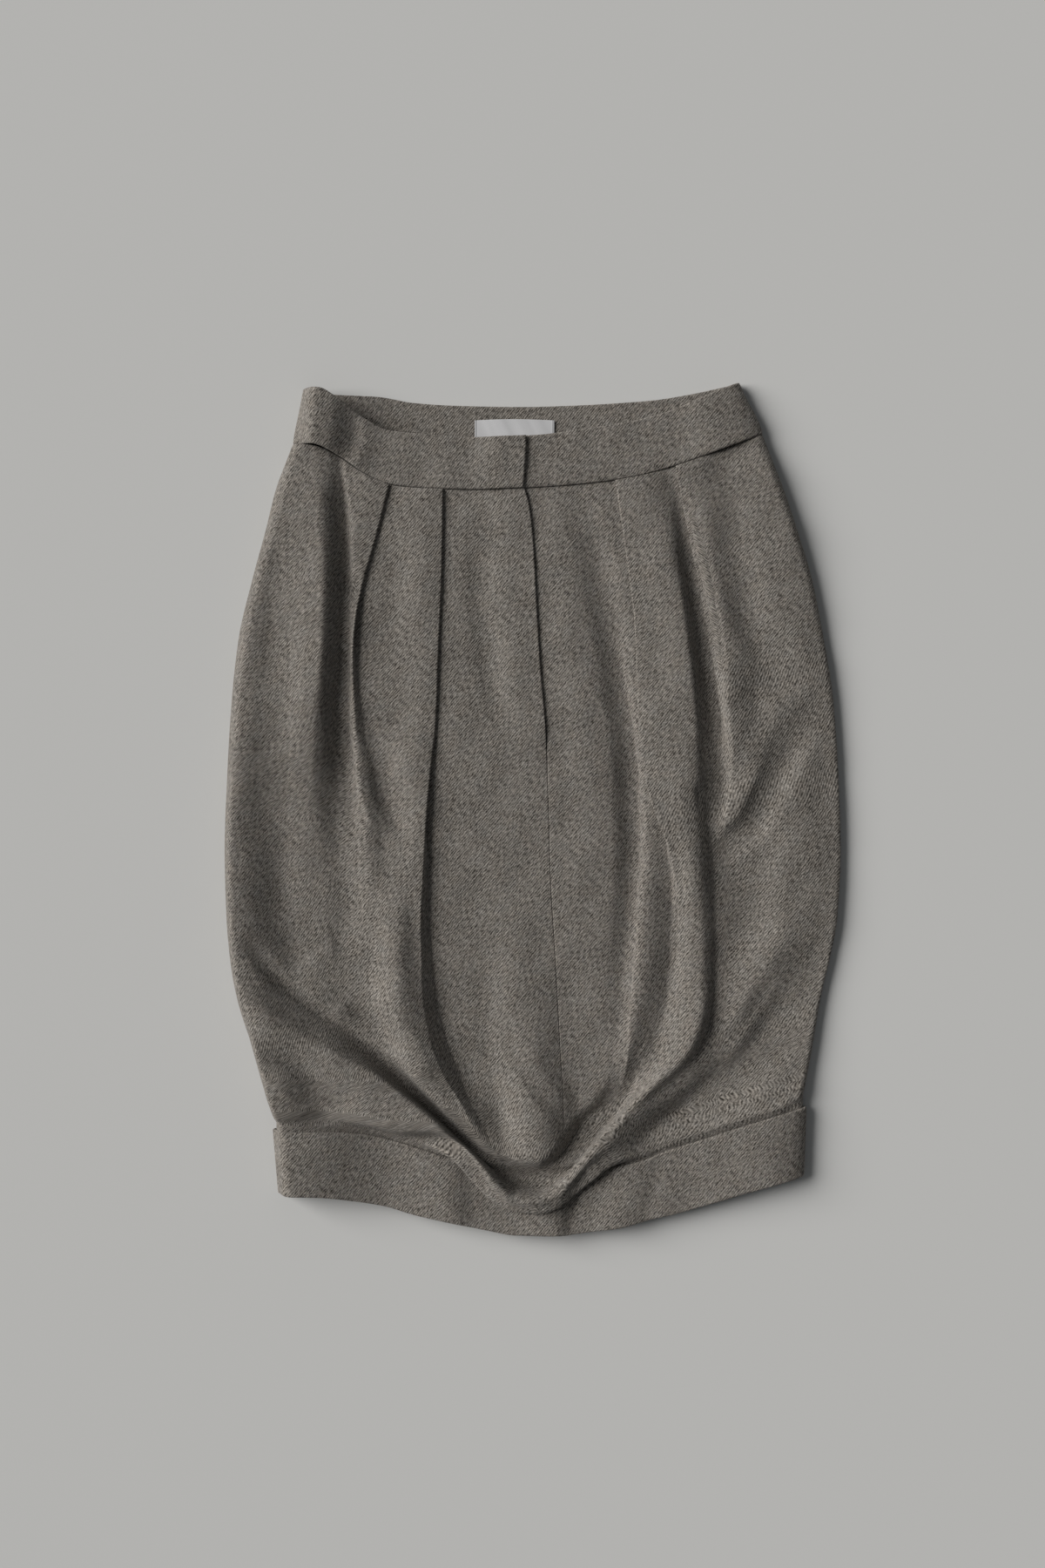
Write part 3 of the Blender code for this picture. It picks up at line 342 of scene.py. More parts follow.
# The cloth never lies quite even: long shallow waves, each with its own slant and phase.
Wave = namedtuple("Wave", "across_turns along_turns rise phase")
WAVES = table(Wave, [
    (0.021, 0.006, 0.22, 0.4), (-0.013, 0.017, 0.20, 2.1), (0.034, -0.009, 0.12, 4.0),
    (0.008, 0.031, 0.12, 1.2), (0.047, 0.026, 0.07, 5.3), (-0.041, 0.038, 0.06, 0.9),
])


def smooth_through(places, values, wanted):
    """A smooth curve through a table's values, held flat past its two ends."""
    places = np.asarray(places, float)
    values = np.asarray(values, float)
    if places[0] > places[-1]:
        places = places[::-1]
        values = values[::-1]
    steps = np.diff(places)
    slopes = np.diff(values) / steps
    tangents = np.zeros_like(values)
    same_way = slopes[:-1] * slopes[1:] > 0
    harmonic = 3 * (steps[:-1] + steps[1:]) / (
        (2 * steps[1:] + steps[:-1]) / np.where(same_way, slopes[:-1], 1)
        + (steps[1:] + 2 * steps[:-1]) / np.where(same_way, slopes[1:], 1))
    tangents[1:-1] = np.where(same_way, harmonic, 0)
    tangents[0] = slopes[0]
    tangents[-1] = slopes[-1]
    wanted = np.clip(wanted, places[0], places[-1])
    cell = np.clip(np.searchsorted(places, wanted, side="right") - 1, 0, len(steps) - 1)
    t = (wanted - places[cell]) / steps[cell]
    return ((2 * t ** 3 - 3 * t ** 2 + 1) * values[cell]
            + (t ** 3 - 2 * t ** 2 + t) * steps[cell] * tangents[cell]
            + (3 * t ** 2 - 2 * t ** 3) * values[cell + 1]
            + (t ** 3 - t ** 2) * steps[cell] * tangents[cell + 1])


def column(rows, name, wanted, by="along"):
    """One column of a table, at any value of another of its columns."""
    return smooth_through([getattr(row, by) for row in rows],
                          [getattr(row, name) for row in rows], wanted)


def edge_along(edge, across):
    """Where an edge of the pattern lies along the skirt, at places across it."""
    return column(edge, "along", across, by="across")


def ease(value):
    """0 to 1, smooth at both ends."""
    value = np.clip(value, 0, 1)
    return value * value * (3 - 2 * value)


def grown(value, stretch):
    """How much of its full amount something has reached, at a place beside its stretch."""
    return ease((value - stretch.none) / (stretch.full - stretch.none))


def fold_shape(fold, across, along):
    """The height that a fold adds at each place, and the way to its left hand from there."""
    shape = np.broadcast(across, along).shape
    stops = np.array(fold.path, float)
    at = np.arange(len(stops))
    fine = np.linspace(0, len(stops) - 1, STOP_STEPS * (len(stops) - 1) + 1)
    path = np.stack([smooth_through(at, stops[:, k], fine) for k in range(3)], axis=1)
    nearest = np.full(shape, np.inf)
    rise = np.zeros(shape)
    side = np.zeros(shape)
    leftward = np.zeros((2, *shape))
    for start, end in zip(path[:-1], path[1:]):
        run = end[:2] - start[:2]
        reach = ((across - start[0]) * run[0] + (along - start[1]) * run[1]) / (run @ run)
        reach = np.clip(reach, 0, 1)
        off_x = across - (start[0] + reach * run[0])
        off_y = along - (start[1] + reach * run[1])
        distance = np.hypot(off_x, off_y)
        closer = distance < nearest
        nearest = np.where(closer, distance, nearest)
        rise = np.where(closer, start[2] + reach * (end[2] - start[2]), rise)
        side = np.where(closer, run[0] * off_y - run[1] * off_x, side)
        leftward[0] = np.where(closer, -run[1] / np.hypot(*run), leftward[0])
        leftward[1] = np.where(closer, run[0] / np.hypot(*run), leftward[1])
    # The two widths blend over a short way at the path, so its crest has no kink.
    handed = ease(0.5 + np.sign(side) * ease(nearest / CREST_BLEND) / 2)
    width = fold.right_hand + (fold.left_hand - fold.right_hand) * handed
    share = np.clip(1 - (nearest / width) ** 2, 0, 1)
    return rise * share ** 2, leftward


def fold_height(folds, across, along):
    """The height that a list of soft folds adds at each place."""
    return sum(fold_shape(fold, across, along)[0] for fold in folds)


def fold_lean(folds, across, along):
    """How far a list of overhanging crests has leaned over at each place, both ways."""
    lean = 0.0
    for fold in folds:
        amount, leftward = fold_shape(fold, across, along)
        lean = lean + amount * leftward
    return lean


def unevenness(across, along):
    """The long shallow waves of cloth that has been worn and laid down by hand."""
    total = 0.0
    for wave in WAVES:
        turns = wave.across_turns * across + wave.along_turns * along
        total = total + wave.rise * np.sin(2 * math.pi * turns + wave.phase)
    return total


def turning(turned, depth, first_radius, last_radius, steps):
    """A fold's own small section: out, round, back by its depth, round again and on.

    Gives how far each of its points has gone forward and how far it has dropped.
    """
    turned = np.radians(turned)
    turn_steps, back_steps = steps
    first = np.maximum(first_radius * turned, SHORTEST_TURN)
    last = np.maximum(last_radius * turned, SHORTEST_TURN)
    forward = [np.zeros_like(turned)]
    drop = [np.zeros_like(turned)]
    pieces = ([(first / turn_steps, (k + 0.5) / turn_steps) for k in range(turn_steps)]
              + [(depth / back_steps, 1.0)] * back_steps
              + [(last / turn_steps, 1 - (k + 0.5) / turn_steps) for k in range(turn_steps)])
    for length, share in pieces:
        forward.append(forward[-1] + length * np.cos(turned * share))
        drop.append(drop[-1] + length * np.sin(turned * share))
    return np.array(forward), np.array(drop)


def side_roll(distance_in, top, roll):
    """Height of the wall's middle near a side, where the cloth rounds down to its seam."""
    share = np.clip(distance_in / roll, 0, 1)
    foot = SIDE_SEAM_HIGH + SEAM_STRIP
    height = foot + (top - foot) * np.sqrt(1 - (1 - share) ** 2)
    height[..., 0] = SIDE_SEAM_HIGH
    return height


def rolled_steps(roll):
    """How far in from a side the points of its rounded stretch lie, the seam's own first."""
    angles = np.linspace(0, math.pi / 2, ROLL_STEPS + 1)
    return np.concatenate([[0.0], roll * (1 - np.cos(angles))])


def front_height(across, along):
    """Middle of the front's wall, before any pleat or droop lifts it."""
    height = FRONT_HIGH + fold_height(FRONT_FOLDS, across, along) + unevenness(across, along)
    from_centre = np.abs(across)
    over_seam = along - edge_along(CUFF_TOP, across)
    # The front never lies lower than its side seams, its hem in the cuff or its own turned hem.
    near_hem = grown(from_centre, GATHERED) * grown(over_seam, NEAR_CUFF)
    lowest = SIDE_SEAM_HIGH + (HEM_HIGH - SIDE_SEAM_HIGH) * near_hem
    on_turned_hem = grown(over_seam, ON_TURNED_HEM) * grown(from_centre, DROOPING)
    turned_hem = DROOP_FLOOR + fold_height(CUFF_FOLDS, across, along)
    lowest = lowest + (turned_hem - lowest) * on_turned_hem
    height = lowest + SOFTNESS * np.logaddexp(0, (height - lowest) / SOFTNESS)
    height = height + HEM_PUFF * grown(over_seam, PUFF_FOOT) * grown(over_seam, PUFF_TOP)
    below_waist = edge_along(WAIST_SEAM, across) - along
    return height - SEAM_DIP * np.exp(-(below_waist / SEAM_DIP_WIDE) ** 2)


def half_section(hand, levels, fly_edge):
    """One section across a half front, from its side to the fly.

    levels are where it crosses the side, the outer pleat, the inner pleat and the fly.
    """
    side = column(SIDES, HANDS[hand], levels[0])
    roll = column(SIDE_ROLLS, HANDS[hand], levels[0])
    towards = -hand
    pleats = []
    for pleat, along in zip(PLEATS[hand], levels[1:3]):
        edge = column(pleat, "across", along)
        turned = column(pleat, "turned", along)
        depth = column(pleat, "depth", along)
        forward, drop = turning(turned, depth, PLEAT_TURN, PLEAT_TURN, PLEAT_STEPS)
        pleats.append((edge, forward, drop))
    start = side + towards * CLOTH / 2
    across = list(start + towards * rolled_steps(roll))
    firsts_and_lasts = []
    for (edge, forward, _), steps in zip(pleats, PLAIN_STEPS):
        before = edge + towards * (min(forward.min(), 0) - PLEAT_CLEAR)
        across += list(np.linspace(across[-1], before, steps + 1)[1:])
        across.append(edge)
        first = len(across) - 1
        across += list(edge + towards * forward[1:])
        firsts_and_lasts.append((first, len(across) - 1))
        across.append(edge + towards * (max(forward.max(), 0) + PLEAT_CLEAR))
    # Steps grow finer towards the fly, where the edge rounds over.
    last_stretch = 1 - (1 - np.linspace(0, 1, PLAIN_STEPS[2] + 1)[1:]) ** FLY_FINER
    across += list(across[-1] + (fly_edge - across[-1]) * last_stretch)
    across = np.array(across)
    lift = np.zeros(len(across))
    for (first, last), (edge, _, drop) in zip(firsts_and_lasts, pleats):
        layered = np.abs(across[first:last + 1] - edge).max() + PLEAT_HOLD
        away = np.abs(across[:first + 1] - edge) - layered
        lift[:first + 1] += drop[-1] * grown(away, PLEAT_SETTLES)
        lift[first:last + 1] += drop[-1] - drop
        lift[first] -= drop[-1]
    return across, lift, np.abs(across - start), [first for first, _ in firsts_and_lasts]


def edge_fly(hand, along):
    """The fly's edge for a half: the left one ends there, the right one runs under it."""
    fly = column(FLY, "across", along)
    if hand < 0:
        return fly - SEAM_GAP / 4
    under = grown(along - FLY_FOOT, LAP_RUNS_UNDER)
    stepped = grown(along - FLY_FOOT, LAP_STEPS_IN) * SEAM_GAP
    return fly + SEAM_GAP / 4 + stepped - under * (FLY_LAP + SEAM_GAP / 4 + stepped)


def droop_turning(across):
    """The droop's own small section, at places across."""
    turned = column(DROOP, "turned", across, by="across")
    depth = column(DROOP, "depth", across, by="across")
    return turning(turned, depth, LIP_TURN, CUFF_TURN, DROOP_STEPS)


def seam_cover(across, drop):
    """How far the front stands over its seam with the cuff, away from the droop and the sides."""
    from_side = np.abs(across - across[..., :1])
    return SEAM_COVER * grown(drop, OFF_DROOP) * grown(from_side, OFF_SIDE)


def row_along(across, share):
    """Rows follow the waist seam at the top and the droop's edge at the bottom."""
    forward, _ = droop_turning(across)
    bottom = edge_along(CUFF_TOP, across) + TURN_CLEAR + forward[-1]
    top = edge_along(WAIST_SEAM, across) - SEAM_GAP / 2
    return top + (bottom - top) * share


def body_rows(hand, shares):
    """The rows of a half front between the waist seam and the droop's edge."""
    rows = []
    for share in shares:
        # A row runs at a slant, so where it crosses each edge is closed in on in a few tries.
        levels = np.array([FRONT_TOP + (FRONT_LOW - FRONT_TOP) * share] * 4)
        for _ in range(5):
            fly_edge = edge_fly(hand, levels[3])
            across, lift, roll_in, edges = half_section(hand, levels, fly_edge)
            along = row_along(across, share)
            levels = np.array([along[0], along[edges[0]], along[edges[1]], along[-1]])
        rows.append((across, along, lift, roll_in, np.abs(across - fly_edge)))
    across, along, lift, roll_in, from_fly = np.array(rows).transpose(1, 0, 2)
    height = front_height(across, along)
    end_along = row_along(across, 1.0)
    _, drop = droop_turning(across)
    settled = HEM_HIGH + fold_height(CUFF_FOLDS, across, end_along) + drop[-1]
    settled = settled + seam_cover(across, drop[-1])
    height = height + (settled - height) * grown(along - end_along, HEM_SETTLES)
    if hand < 0:
        lap = grown(along - FLY_FOOT, LAP_RISES) * LAP_LIFT
        lift = lift + lap * grown(from_fly - FLY_LAP, LAP_SETTLES)
    sewn = grown(along - FLY_FOOT, CENTRE_SEWN)
    lift = lift - sewn * CENTRE_DIP * np.exp(-(from_fly / SEAM_DIP_WIDE) ** 2)
    roll = column(SIDE_ROLLS, HANDS[hand], along)
    return across, along, side_roll(roll_in, height + lift, roll)


def cuff_side(hand, along):
    """Outer edge of the cuff at a side."""
    end = CUFF_ENDS[hand]
    share = np.clip((end.top - along) / (end.top - end.hem), 0, 1)
    return end.top_side + (end.hem_side - end.top_side) * share


def tuck_place(hand, across, along):
    """The front inside its cuff: a little narrower than the cuff, and level."""
    side = cuff_side(hand, along[0]) - hand * (DOUBLED + LAYER_CLEAR + CLOTH / 2)
    rolled = side - hand * rolled_steps(TUCK_ROLL)
    kept = len(rolled)
    fly = across[-1]
    plain = fly + (across[kept:] - fly) * (rolled[-1] - fly) / (across[kept - 1] - fly)
    new_across = np.concatenate([rolled, plain])
    height = HEM_HIGH + fold_height(CUFF_FOLDS, new_across, along)
    return new_across, side_roll(np.abs(new_across - side), height, TUCK_ROLL)


def front_half(hand):
    """The middle of a half front's wall, as rows of points from the waist seam to the hem."""
    *close, plain = np.array(TOP_STEPS) / FRONT_LONG
    shares = np.concatenate([close, np.linspace(plain, 1, BODY_ROWS)])
    across, along, height = body_rows(hand, shares)
    forward, drop = droop_turning(across[-1])
    lip = along[-1]
    lip_fold = fold_height(CUFF_FOLDS, across[-1], lip)
    cover = seam_cover(across[-1], drop[-1])
    lean = fold_lean(OVERHANGS, across, along)
    rows = list(zip(across + lean[0], along + lean[1], height))
    for k in range(1, len(forward)):
        beneath = lip - forward[k]
        follows = fold_height(CUFF_FOLDS, across[-1], beneath) - lip_fold
        level = height[-1] - drop[k] - cover * forward[k] / forward[-1]
        rows.append((across[-1], beneath, level + follows * ease(k / DROOP_STEPS[0])))
    hem = edge_along(HEM, across[-1]) + 2 * SEAM_GAP
    top = rows[-1][1]
    for k in range(1, TUCK_ROWS + 1):
        share = k / TUCK_ROWS
        tucked, level = tuck_place(hand, across[-1], top + (hem - top) * share)
        rows.append((tucked, top + (hem - top) * share, level))
    return np.array(rows).transpose(0, 2, 1)


def distance_along(middle, axis, directions):
    """How far along the cloth each point lies from the first, as measured in some directions."""
    run = np.linalg.norm(np.diff(middle[:, :, directions], axis=axis), axis=2)
    start = np.zeros_like(np.take(run, [0], axis))
    return np.concatenate([start, np.cumsum(run, axis)], axis)


def cloth_cut(middle, grain_across):
    """Each point's place on the flat cloth, in millimetres, unrolled along both its folds.

    grain_across is the column that keeps its own place across: the fly's on a front.
    """
    towards = np.sign(np.median(np.diff(middle[:, :, 0], axis=1)))
    rolled_out = distance_along(middle, 1, [0, 2]) * towards
    kept = [grain_across]
    across = middle[:, kept, 0] + rolled_out - rolled_out[:, kept]
    along = middle[0, :, 1] - distance_along(middle, 0, [1, 2])
    return np.stack([across, along], axis=-1)


def edge_fullness(middle, thickness):
    """How full the wall is near its edges, so that they round over as turned cloth does."""
    full = np.ones(middle.shape[:2])
    for axis in (0, 1):
        reach = distance_along(middle, axis, [0, 1, 2])
        from_end = np.take(reach, [-1], axis) - reach
        nearest = np.minimum(reach, from_end) / (thickness / 2)
        full = np.minimum(full, np.sqrt(1 - (1 - np.clip(nearest, RIM_REACH, 1)) ** 2))
    return full


def placed(name, data):
    """A new object in the scene."""
    made = bpy.data.objects.new(name, data)
    bpy.context.scene.collection.objects.link(made)
    return made


def cloth_piece(name, middle, thickness, material, grain_across=0, pressed=0):
    """A wall of cloth: a grid whose points are the wall's middle, thickened both ways.

    The last columns of points stay nearly full on the last rows, as many as are pressed.
    """
    rows, columns, _ = middle.shape
    mesh = bpy.data.meshes.new(name)
    grid = bmesh.new()
    bmesh.ops.create_grid(grid, x_segments=columns - 1, y_segments=rows - 1, size=0.5)
    if np.median(np.diff(middle[:, :, 0], axis=1)) < 0:
        bmesh.ops.reverse_faces(grid, faces=grid.faces)
    grid.loops.layers.uv.new("cut")
    grid.to_mesh(mesh)
    grid.free()
    # The grid's first row of points is the piece's last.
    mesh.vertices.foreach_set("co", (middle[::-1] * MM).ravel())
    corners = np.empty(len(mesh.loops), np.int32)
    mesh.loops.foreach_get("vertex_index", corners)
    flat = cloth_cut(middle, grain_across)[::-1].reshape(-1, 2) * MM + 0.5
    mesh.uv_layers["cut"].uv.foreach_set("vector", flat[corners].ravel())
    mesh.update()
    piece = placed(name, mesh)
    full = piece.vertex_groups.new(name="full")
    fullness = edge_fullness(middle, thickness)
    by_seam = fullness[rows - pressed:, -PRESSED_COLUMNS:]
    np.maximum(by_seam, PRESSED_FULL, out=by_seam)
    fullness = fullness[::-1].ravel()
    full.add(np.flatnonzero(fullness >= 1).tolist(), 1.0, "REPLACE")
    for index in np.flatnonzero(fullness < 1).tolist():
        full.add([index], fullness[index], "REPLACE")
    mesh.materials.append(material)
    mesh.shade_smooth()
    wall = piece.modifiers.new("wall", "SOLIDIFY")
    wall.thickness = thickness * MM
    wall.offset = 0.0
    wall.vertex_group = "full"
    return piece


# Wool twill. Fine ribs slant up to the right, 1.5 mm apart, spun of light and dark fibres, so
# each rib breaks into short flecks. Its nap catches the light softly at a low angle.
WEAVE_SLANT = math.radians(50)
RIB_PITCH = 1.5
RIB_SHARE = 0.22         # of the blend from dark to light fibre
BLEND_MIDDLE = 0.46
DASH_ALONG = 0.30        # dashes are drawn out along their rib
DASH_ACROSS = 0.85
RIB_RELIEF = 0.35
DASH_RELIEF = 0.5
FLECK_RELIEF = 0.35
Pattern = namedtuple("Pattern", "scale detail roughness strength")
SWAY = Pattern(0.35, 1.0, 0.5, 0.9)          # how far the ribs stray sideways
DASHES = Pattern(1.0, 1.0, 0.5, 1.3)
FLECKS = Pattern(1.15, 2.0, 0.65, 1.0)
MOTTLE = Pattern(0.045, 2.0, 0.5, 0.24)
YARN_LOTS = Pattern(0.09, 3.0, 0.5, 1.0)     # some patches lean warm and some cool
DARK_FIBRE = (0.030, 0.026, 0.022, 1)
LIGHT_FIBRE = (0.350, 0.322, 0.292, 1)
WARM_LOT = (1.04, 1.0, 0.95, 1)
COOL_LOT = (0.97, 1.0, 1.02, 1)


def set_values(node, values):
    """Sets a node's inputs by their names."""
    for name, value in values.items():
        node.inputs[name].default_value = value


def math_node(tree, operation, first, second=None, third=None):
    """A Math node on sockets or plain numbers. Gives its output."""
    node = tree.nodes.new("ShaderNodeMath")
    node.operation = operation
    for socket, value in zip(node.inputs, (first, second, third)):
        if isinstance(value, bpy.types.NodeSocket):
            tree.links.new(value, socket)
        elif value is not None:
            socket.default_value = value
    return node.outputs[0]


def noise(tree, vector, pattern):
    """A flat Noise Texture's value on a vector."""
    node = tree.nodes.new("ShaderNodeTexNoise")
    node.noise_dimensions = "2D"
    set_values(node, {"Scale": pattern.scale, "Detail": pattern.detail,
                      "Roughness": pattern.roughness})
    tree.links.new(vector, node.inputs["Vector"])
    return node.outputs["Fac"]


def varied(tree, value, found, pattern):
    """A value with a noise's share added, as much above it as below."""
    share = math_node(tree, "MULTIPLY_ADD", found, pattern.strength, -pattern.strength / 2)
    return math_node(tree, "ADD", value, share)


def mix_node(tree, blend_type, factor, first, second):
    """A Mix node on two colours, each a socket or a plain colour. Gives its colour."""
    node = tree.nodes.new("ShaderNodeMix")
    node.data_type = "RGBA"
    node.blend_type = blend_type
    for name, value in (("Factor", factor), ("A", first), ("B", second)):
        if isinstance(value, bpy.types.NodeSocket):
            tree.links.new(value, node.inputs[name])
        else:
            set_values(node, {name: value})
    return node.outputs["Result"]


def joined_vector(tree, x, y):
    """A vector from two values."""
    node = tree.nodes.new("ShaderNodeCombineXYZ")
    tree.links.new(x, node.inputs["X"])
    tree.links.new(y, node.inputs["Y"])
    return node.outputs["Vector"]


def twill_weave(tree, cut):
    """The twill's colour and height on a flat cut whose unit is the metre."""
    scaled = tree.nodes.new("ShaderNodeVectorMath")
    scaled.operation = "SCALE"
    set_values(scaled, {"Scale": 1 / MM})
    tree.links.new(cut, scaled.inputs[0])
    place = scaled.outputs[0]
    split = tree.nodes.new("ShaderNodeSeparateXYZ")
    tree.links.new(place, split.inputs[0])
    u, v = split.outputs["X"], split.outputs["Y"]
    level, steep = math.cos(WEAVE_SLANT), math.sin(WEAVE_SLANT)
    along_rib = math_node(tree, "ADD", math_node(tree, "MULTIPLY", u, level),
                          math_node(tree, "MULTIPLY", v, steep))
    across_rib = math_node(tree, "SUBTRACT", math_node(tree, "MULTIPLY", u, steep),
                           math_node(tree, "MULTIPLY", v, level))
    across_rib = varied(tree, across_rib, noise(tree, place, SWAY), SWAY)
    turns = math_node(tree, "DIVIDE", across_rib, RIB_PITCH)
    rib = math_node(tree, "SINE", math_node(tree, "MULTIPLY", turns, 2 * math.pi))
    dash_place = joined_vector(tree, math_node(tree, "MULTIPLY", along_rib, DASH_ALONG),
                               math_node(tree, "MULTIPLY", across_rib, DASH_ACROSS))
    dashes = noise(tree, dash_place, DASHES)
    flecks = noise(tree, place, FLECKS)
    blend = math_node(tree, "MULTIPLY_ADD", rib, RIB_SHARE, BLEND_MIDDLE)
    blend = varied(tree, blend, dashes, DASHES)
    blend = varied(tree, blend, flecks, FLECKS)
    blend = varied(tree, blend, noise(tree, place, MOTTLE), MOTTLE)
    fibres = mix_node(tree, "MIX", blend, DARK_FIBRE, LIGHT_FIBRE)
    tint = mix_node(tree, "MIX", noise(tree, place, YARN_LOTS), WARM_LOT, COOL_LOT)
    height = math_node(tree, "MULTIPLY", dashes, DASH_RELIEF)
    height = math_node(tree, "MULTIPLY_ADD", rib, RIB_RELIEF, height)
    height = math_node(tree, "MULTIPLY_ADD", flecks, FLECK_RELIEF, height)
    return mix_node(tree, "MULTIPLY", 1.0, fibres, tint), height


def cloth_material(name, values):
    """A material with its shader's values set. Gives it, its nodes, the shader and the cut."""
    material = bpy.data.materials.new(name)
    material.use_nodes = True
    tree = material.node_tree
    shader = tree.nodes["Principled BSDF"]
    set_values(shader, values)
    cut = tree.nodes.new("ShaderNodeUVMap")
    cut.uv_map = "cut"
    return material, tree, shader, cut.outputs["UV"]


def wool_material():
    """Wool twill on a piece's cut, with a soft nap."""
    material, tree, shader, cut = cloth_material(
        "grey wool twill",
        {"Roughness": 0.93, "Specular IOR Level": 0.18, "Sheen Weight": 0.2,
         "Sheen Roughness": 0.55, "Sheen Tint": (0.80, 0.77, 0.73, 1)})
    colour, height = twill_weave(tree, cut)
    tree.links.new(colour, shader.inputs["Base Color"])
    bump = tree.nodes.new("ShaderNodeBump")
    set_values(bump, {"Strength": 0.55, "Distance": 0.4 * MM})
    tree.links.new(height, bump.inputs["Height"])
    tree.links.new(bump.outputs["Normal"], shader.inputs["Normal"])
    return material


wool = wool_material()
left_rows = front_half(-1)
right_rows = front_half(1)
sewn_rows = int((left_rows[:, -1, 1] < FLY_FOOT + LAP_RUNS_UNDER.none).sum())
for name, node, rows in (("cloth_front_left", "front_left", left_rows),
                         ("cloth_front_right", "front_right", right_rows)):
    piece = cloth_piece(name, rows, CLOTH, wool, -1, sewn_rows)
    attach(piece, "root")
    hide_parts(node)


# The back ------------------------------------------------------------------------------------
# One plain panel that lies flat on the surface. It is longer at the waist than the front,
# rounds up to the side seams, and is lifted over its own cuff near the hem.
BACK_ROLL = 6.0
BACK_PLAIN = 110
BACK_ROWS = 170
BACK_TUCK_ROWS = 10
BACK_LIFTS = Stretch(18, 5)       # above the cuff's top edge
SEAM_END = 170.0         # across, about where the waist seam meets each side
BACK_SEAM = table(Edge, [
    (-177, 268.5), (-145, 266), (-115, 264), (-60, 258), (-8, 257), (66, 260), (115, 266.5),
    (150, 273.5), (170, 276),
])


def seam_rise(across, roll, level):
    """Height of a flat piece whose two sides round up to the side seams."""
    distance_in = np.minimum(across - across[0], across[-1] - across)
    share = np.clip(distance_in / roll, 0, 1)
    seam = SIDE_SEAM_HIGH - SEAM_GAP
    foot = seam - SEAM_STRIP
    height = foot - (foot - level) * np.sqrt(1 - (1 - share) ** 2)
    height[0] = seam
    height[-1] = seam
    return height


def rounded_columns(left, right, roll, plain):
    """Places across a flat piece, closer together where each side rounds into its seam."""
    steps = rolled_steps(roll)
    middle = np.linspace(left + roll, right - roll, plain + 1)[1:-1]
    return np.concatenate([left + steps, middle, (right - steps)[::-1]])


def back_panel():
    """The back: flat on the surface, its sides meeting those of the fronts."""
    rows = []
    for share in np.linspace(0, 1, BACK_ROWS + BACK_TUCK_ROWS + 1):
        body_share = min(share * (BACK_ROWS + BACK_TUCK_ROWS) / BACK_ROWS, 1.0)
        tuck_share = max(share * (BACK_ROWS + BACK_TUCK_ROWS) - BACK_ROWS, 0) / BACK_TUCK_ROWS
        ends = []
        for hand, front in ((-1, left_rows), (1, right_rows)):
            side_points = front[:, 0]
            top = edge_along(BACK_SEAM, np.array(SEAM_END * hand)) - SEAM_GAP / 2
            cuff_at = side_points[len(side_points) - TUCK_ROWS - 1, 1]
            along = top + (cuff_at - top) * body_share
            along = along + (side_points[-1, 1] - cuff_at) * tuck_share
            side = np.interp(-along, -side_points[:, 1], side_points[:, 0])
            ends.append((side, along))
        (left, left_along), (right, right_along) = ends
        across = rounded_columns(left, right, BACK_ROLL, BACK_PLAIN)
        top = edge_along(BACK_SEAM, across) - SEAM_GAP / 2
        cuff_at = edge_along(CUFF_TOP, across)
        hem = edge_along(HEM, across) + 2 * SEAM_GAP
        along = top + (cuff_at - top) * body_share + (hem - cuff_at) * tuck_share
        chord = np.interp(across, [left, right], [left_along - along[0], right_along - along[-1]])
        along = along + chord
        rise = grown(along - cuff_at, BACK_LIFTS) * (DOUBLED + LAYER_CLEAR)
        rows.append([across, along, seam_rise(across, BACK_ROLL, CLOTH / 2 + rise)])
    return np.array(rows).transpose(0, 2, 1)


back = cloth_piece("cloth_back", back_panel(), CLOTH, wool, grain_across=BACK_PLAIN // 2)
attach(back, "root")
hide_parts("back")


# The waistband -------------------------------------------------------------------------------
# A doubled band of the same twill, 40 mm tall and cut on a slight curve, in three pieces: the
# left front laps over the right one above the fly, and the back lies flat on the surface.
BAND_TALL = 40.0
BAND_HALF = 150.0        # about the length of a front half
BAND_HIGH = 12.4
BAND_ROLL = 12.0
BAND_LAP = 14.0          # how far the right front band runs under the left one
BAND_HOLD = 2.0          # the left band stays as high this far past the right one's end
BAND_COLUMNS = 130
BACK_BAND_COLUMNS = 190
BACK_BAND_GRAIN = 100    # the column of its points that keeps its place on the cut
BAND_ROWS = 40
BAND_SETTLES = Stretch(26, 0)     # beyond the cloth that runs under
FRONT_BAND_TOP = table(Edge, [
    (-169, 309), (-156, 308), (-145, 302), (-122, 285.5), (-106, 278), (-82, 275.5), (-43, 273),
    (0, 274.5), (39, 279.5), (66, 283.5), (90, 289), (110, 296), (127, 303.5), (140, 309),
    (152, 314),
])
BACK_BAND_TOP = table(Edge, [
    (-169, 309), (-145, 306), (-115, 304.5), (-89, 300), (-60, 298), (-8, 297), (30, 298),
    (66, 300), (90, 302), (115, 306), (152, 314),
])
CLOSE_STEPS = (0, 0.12, 0.35, 0.7, 1.2)
BandEnd = namedtuple("BandEnd", "along left right lap")
BAND_ENDS = table(BandEnd, [
    (314, -168.5, 152, -4), (300, -171, 158.5, -4), (288, -173.5, 165, -4), (276, -176, 169.5, -5),
    (268, -177, 170.5, -5), (236, -178, 171, -7),
])
BAND_FOLDS = fold_table([
    ("left end ridge", 14, 48, [(-160, 312, 9), (-159, 285, 11), (-159, 262, 11)]),
    ("left end trough", 16, 12, [(-132, 300, -2), (-134, 272, -3), (-142, 252, -3)]),
    ("right end swell", 30, 26, [(128, 308, 2), (134, 285, 3), (142, 262, 3)]),
])


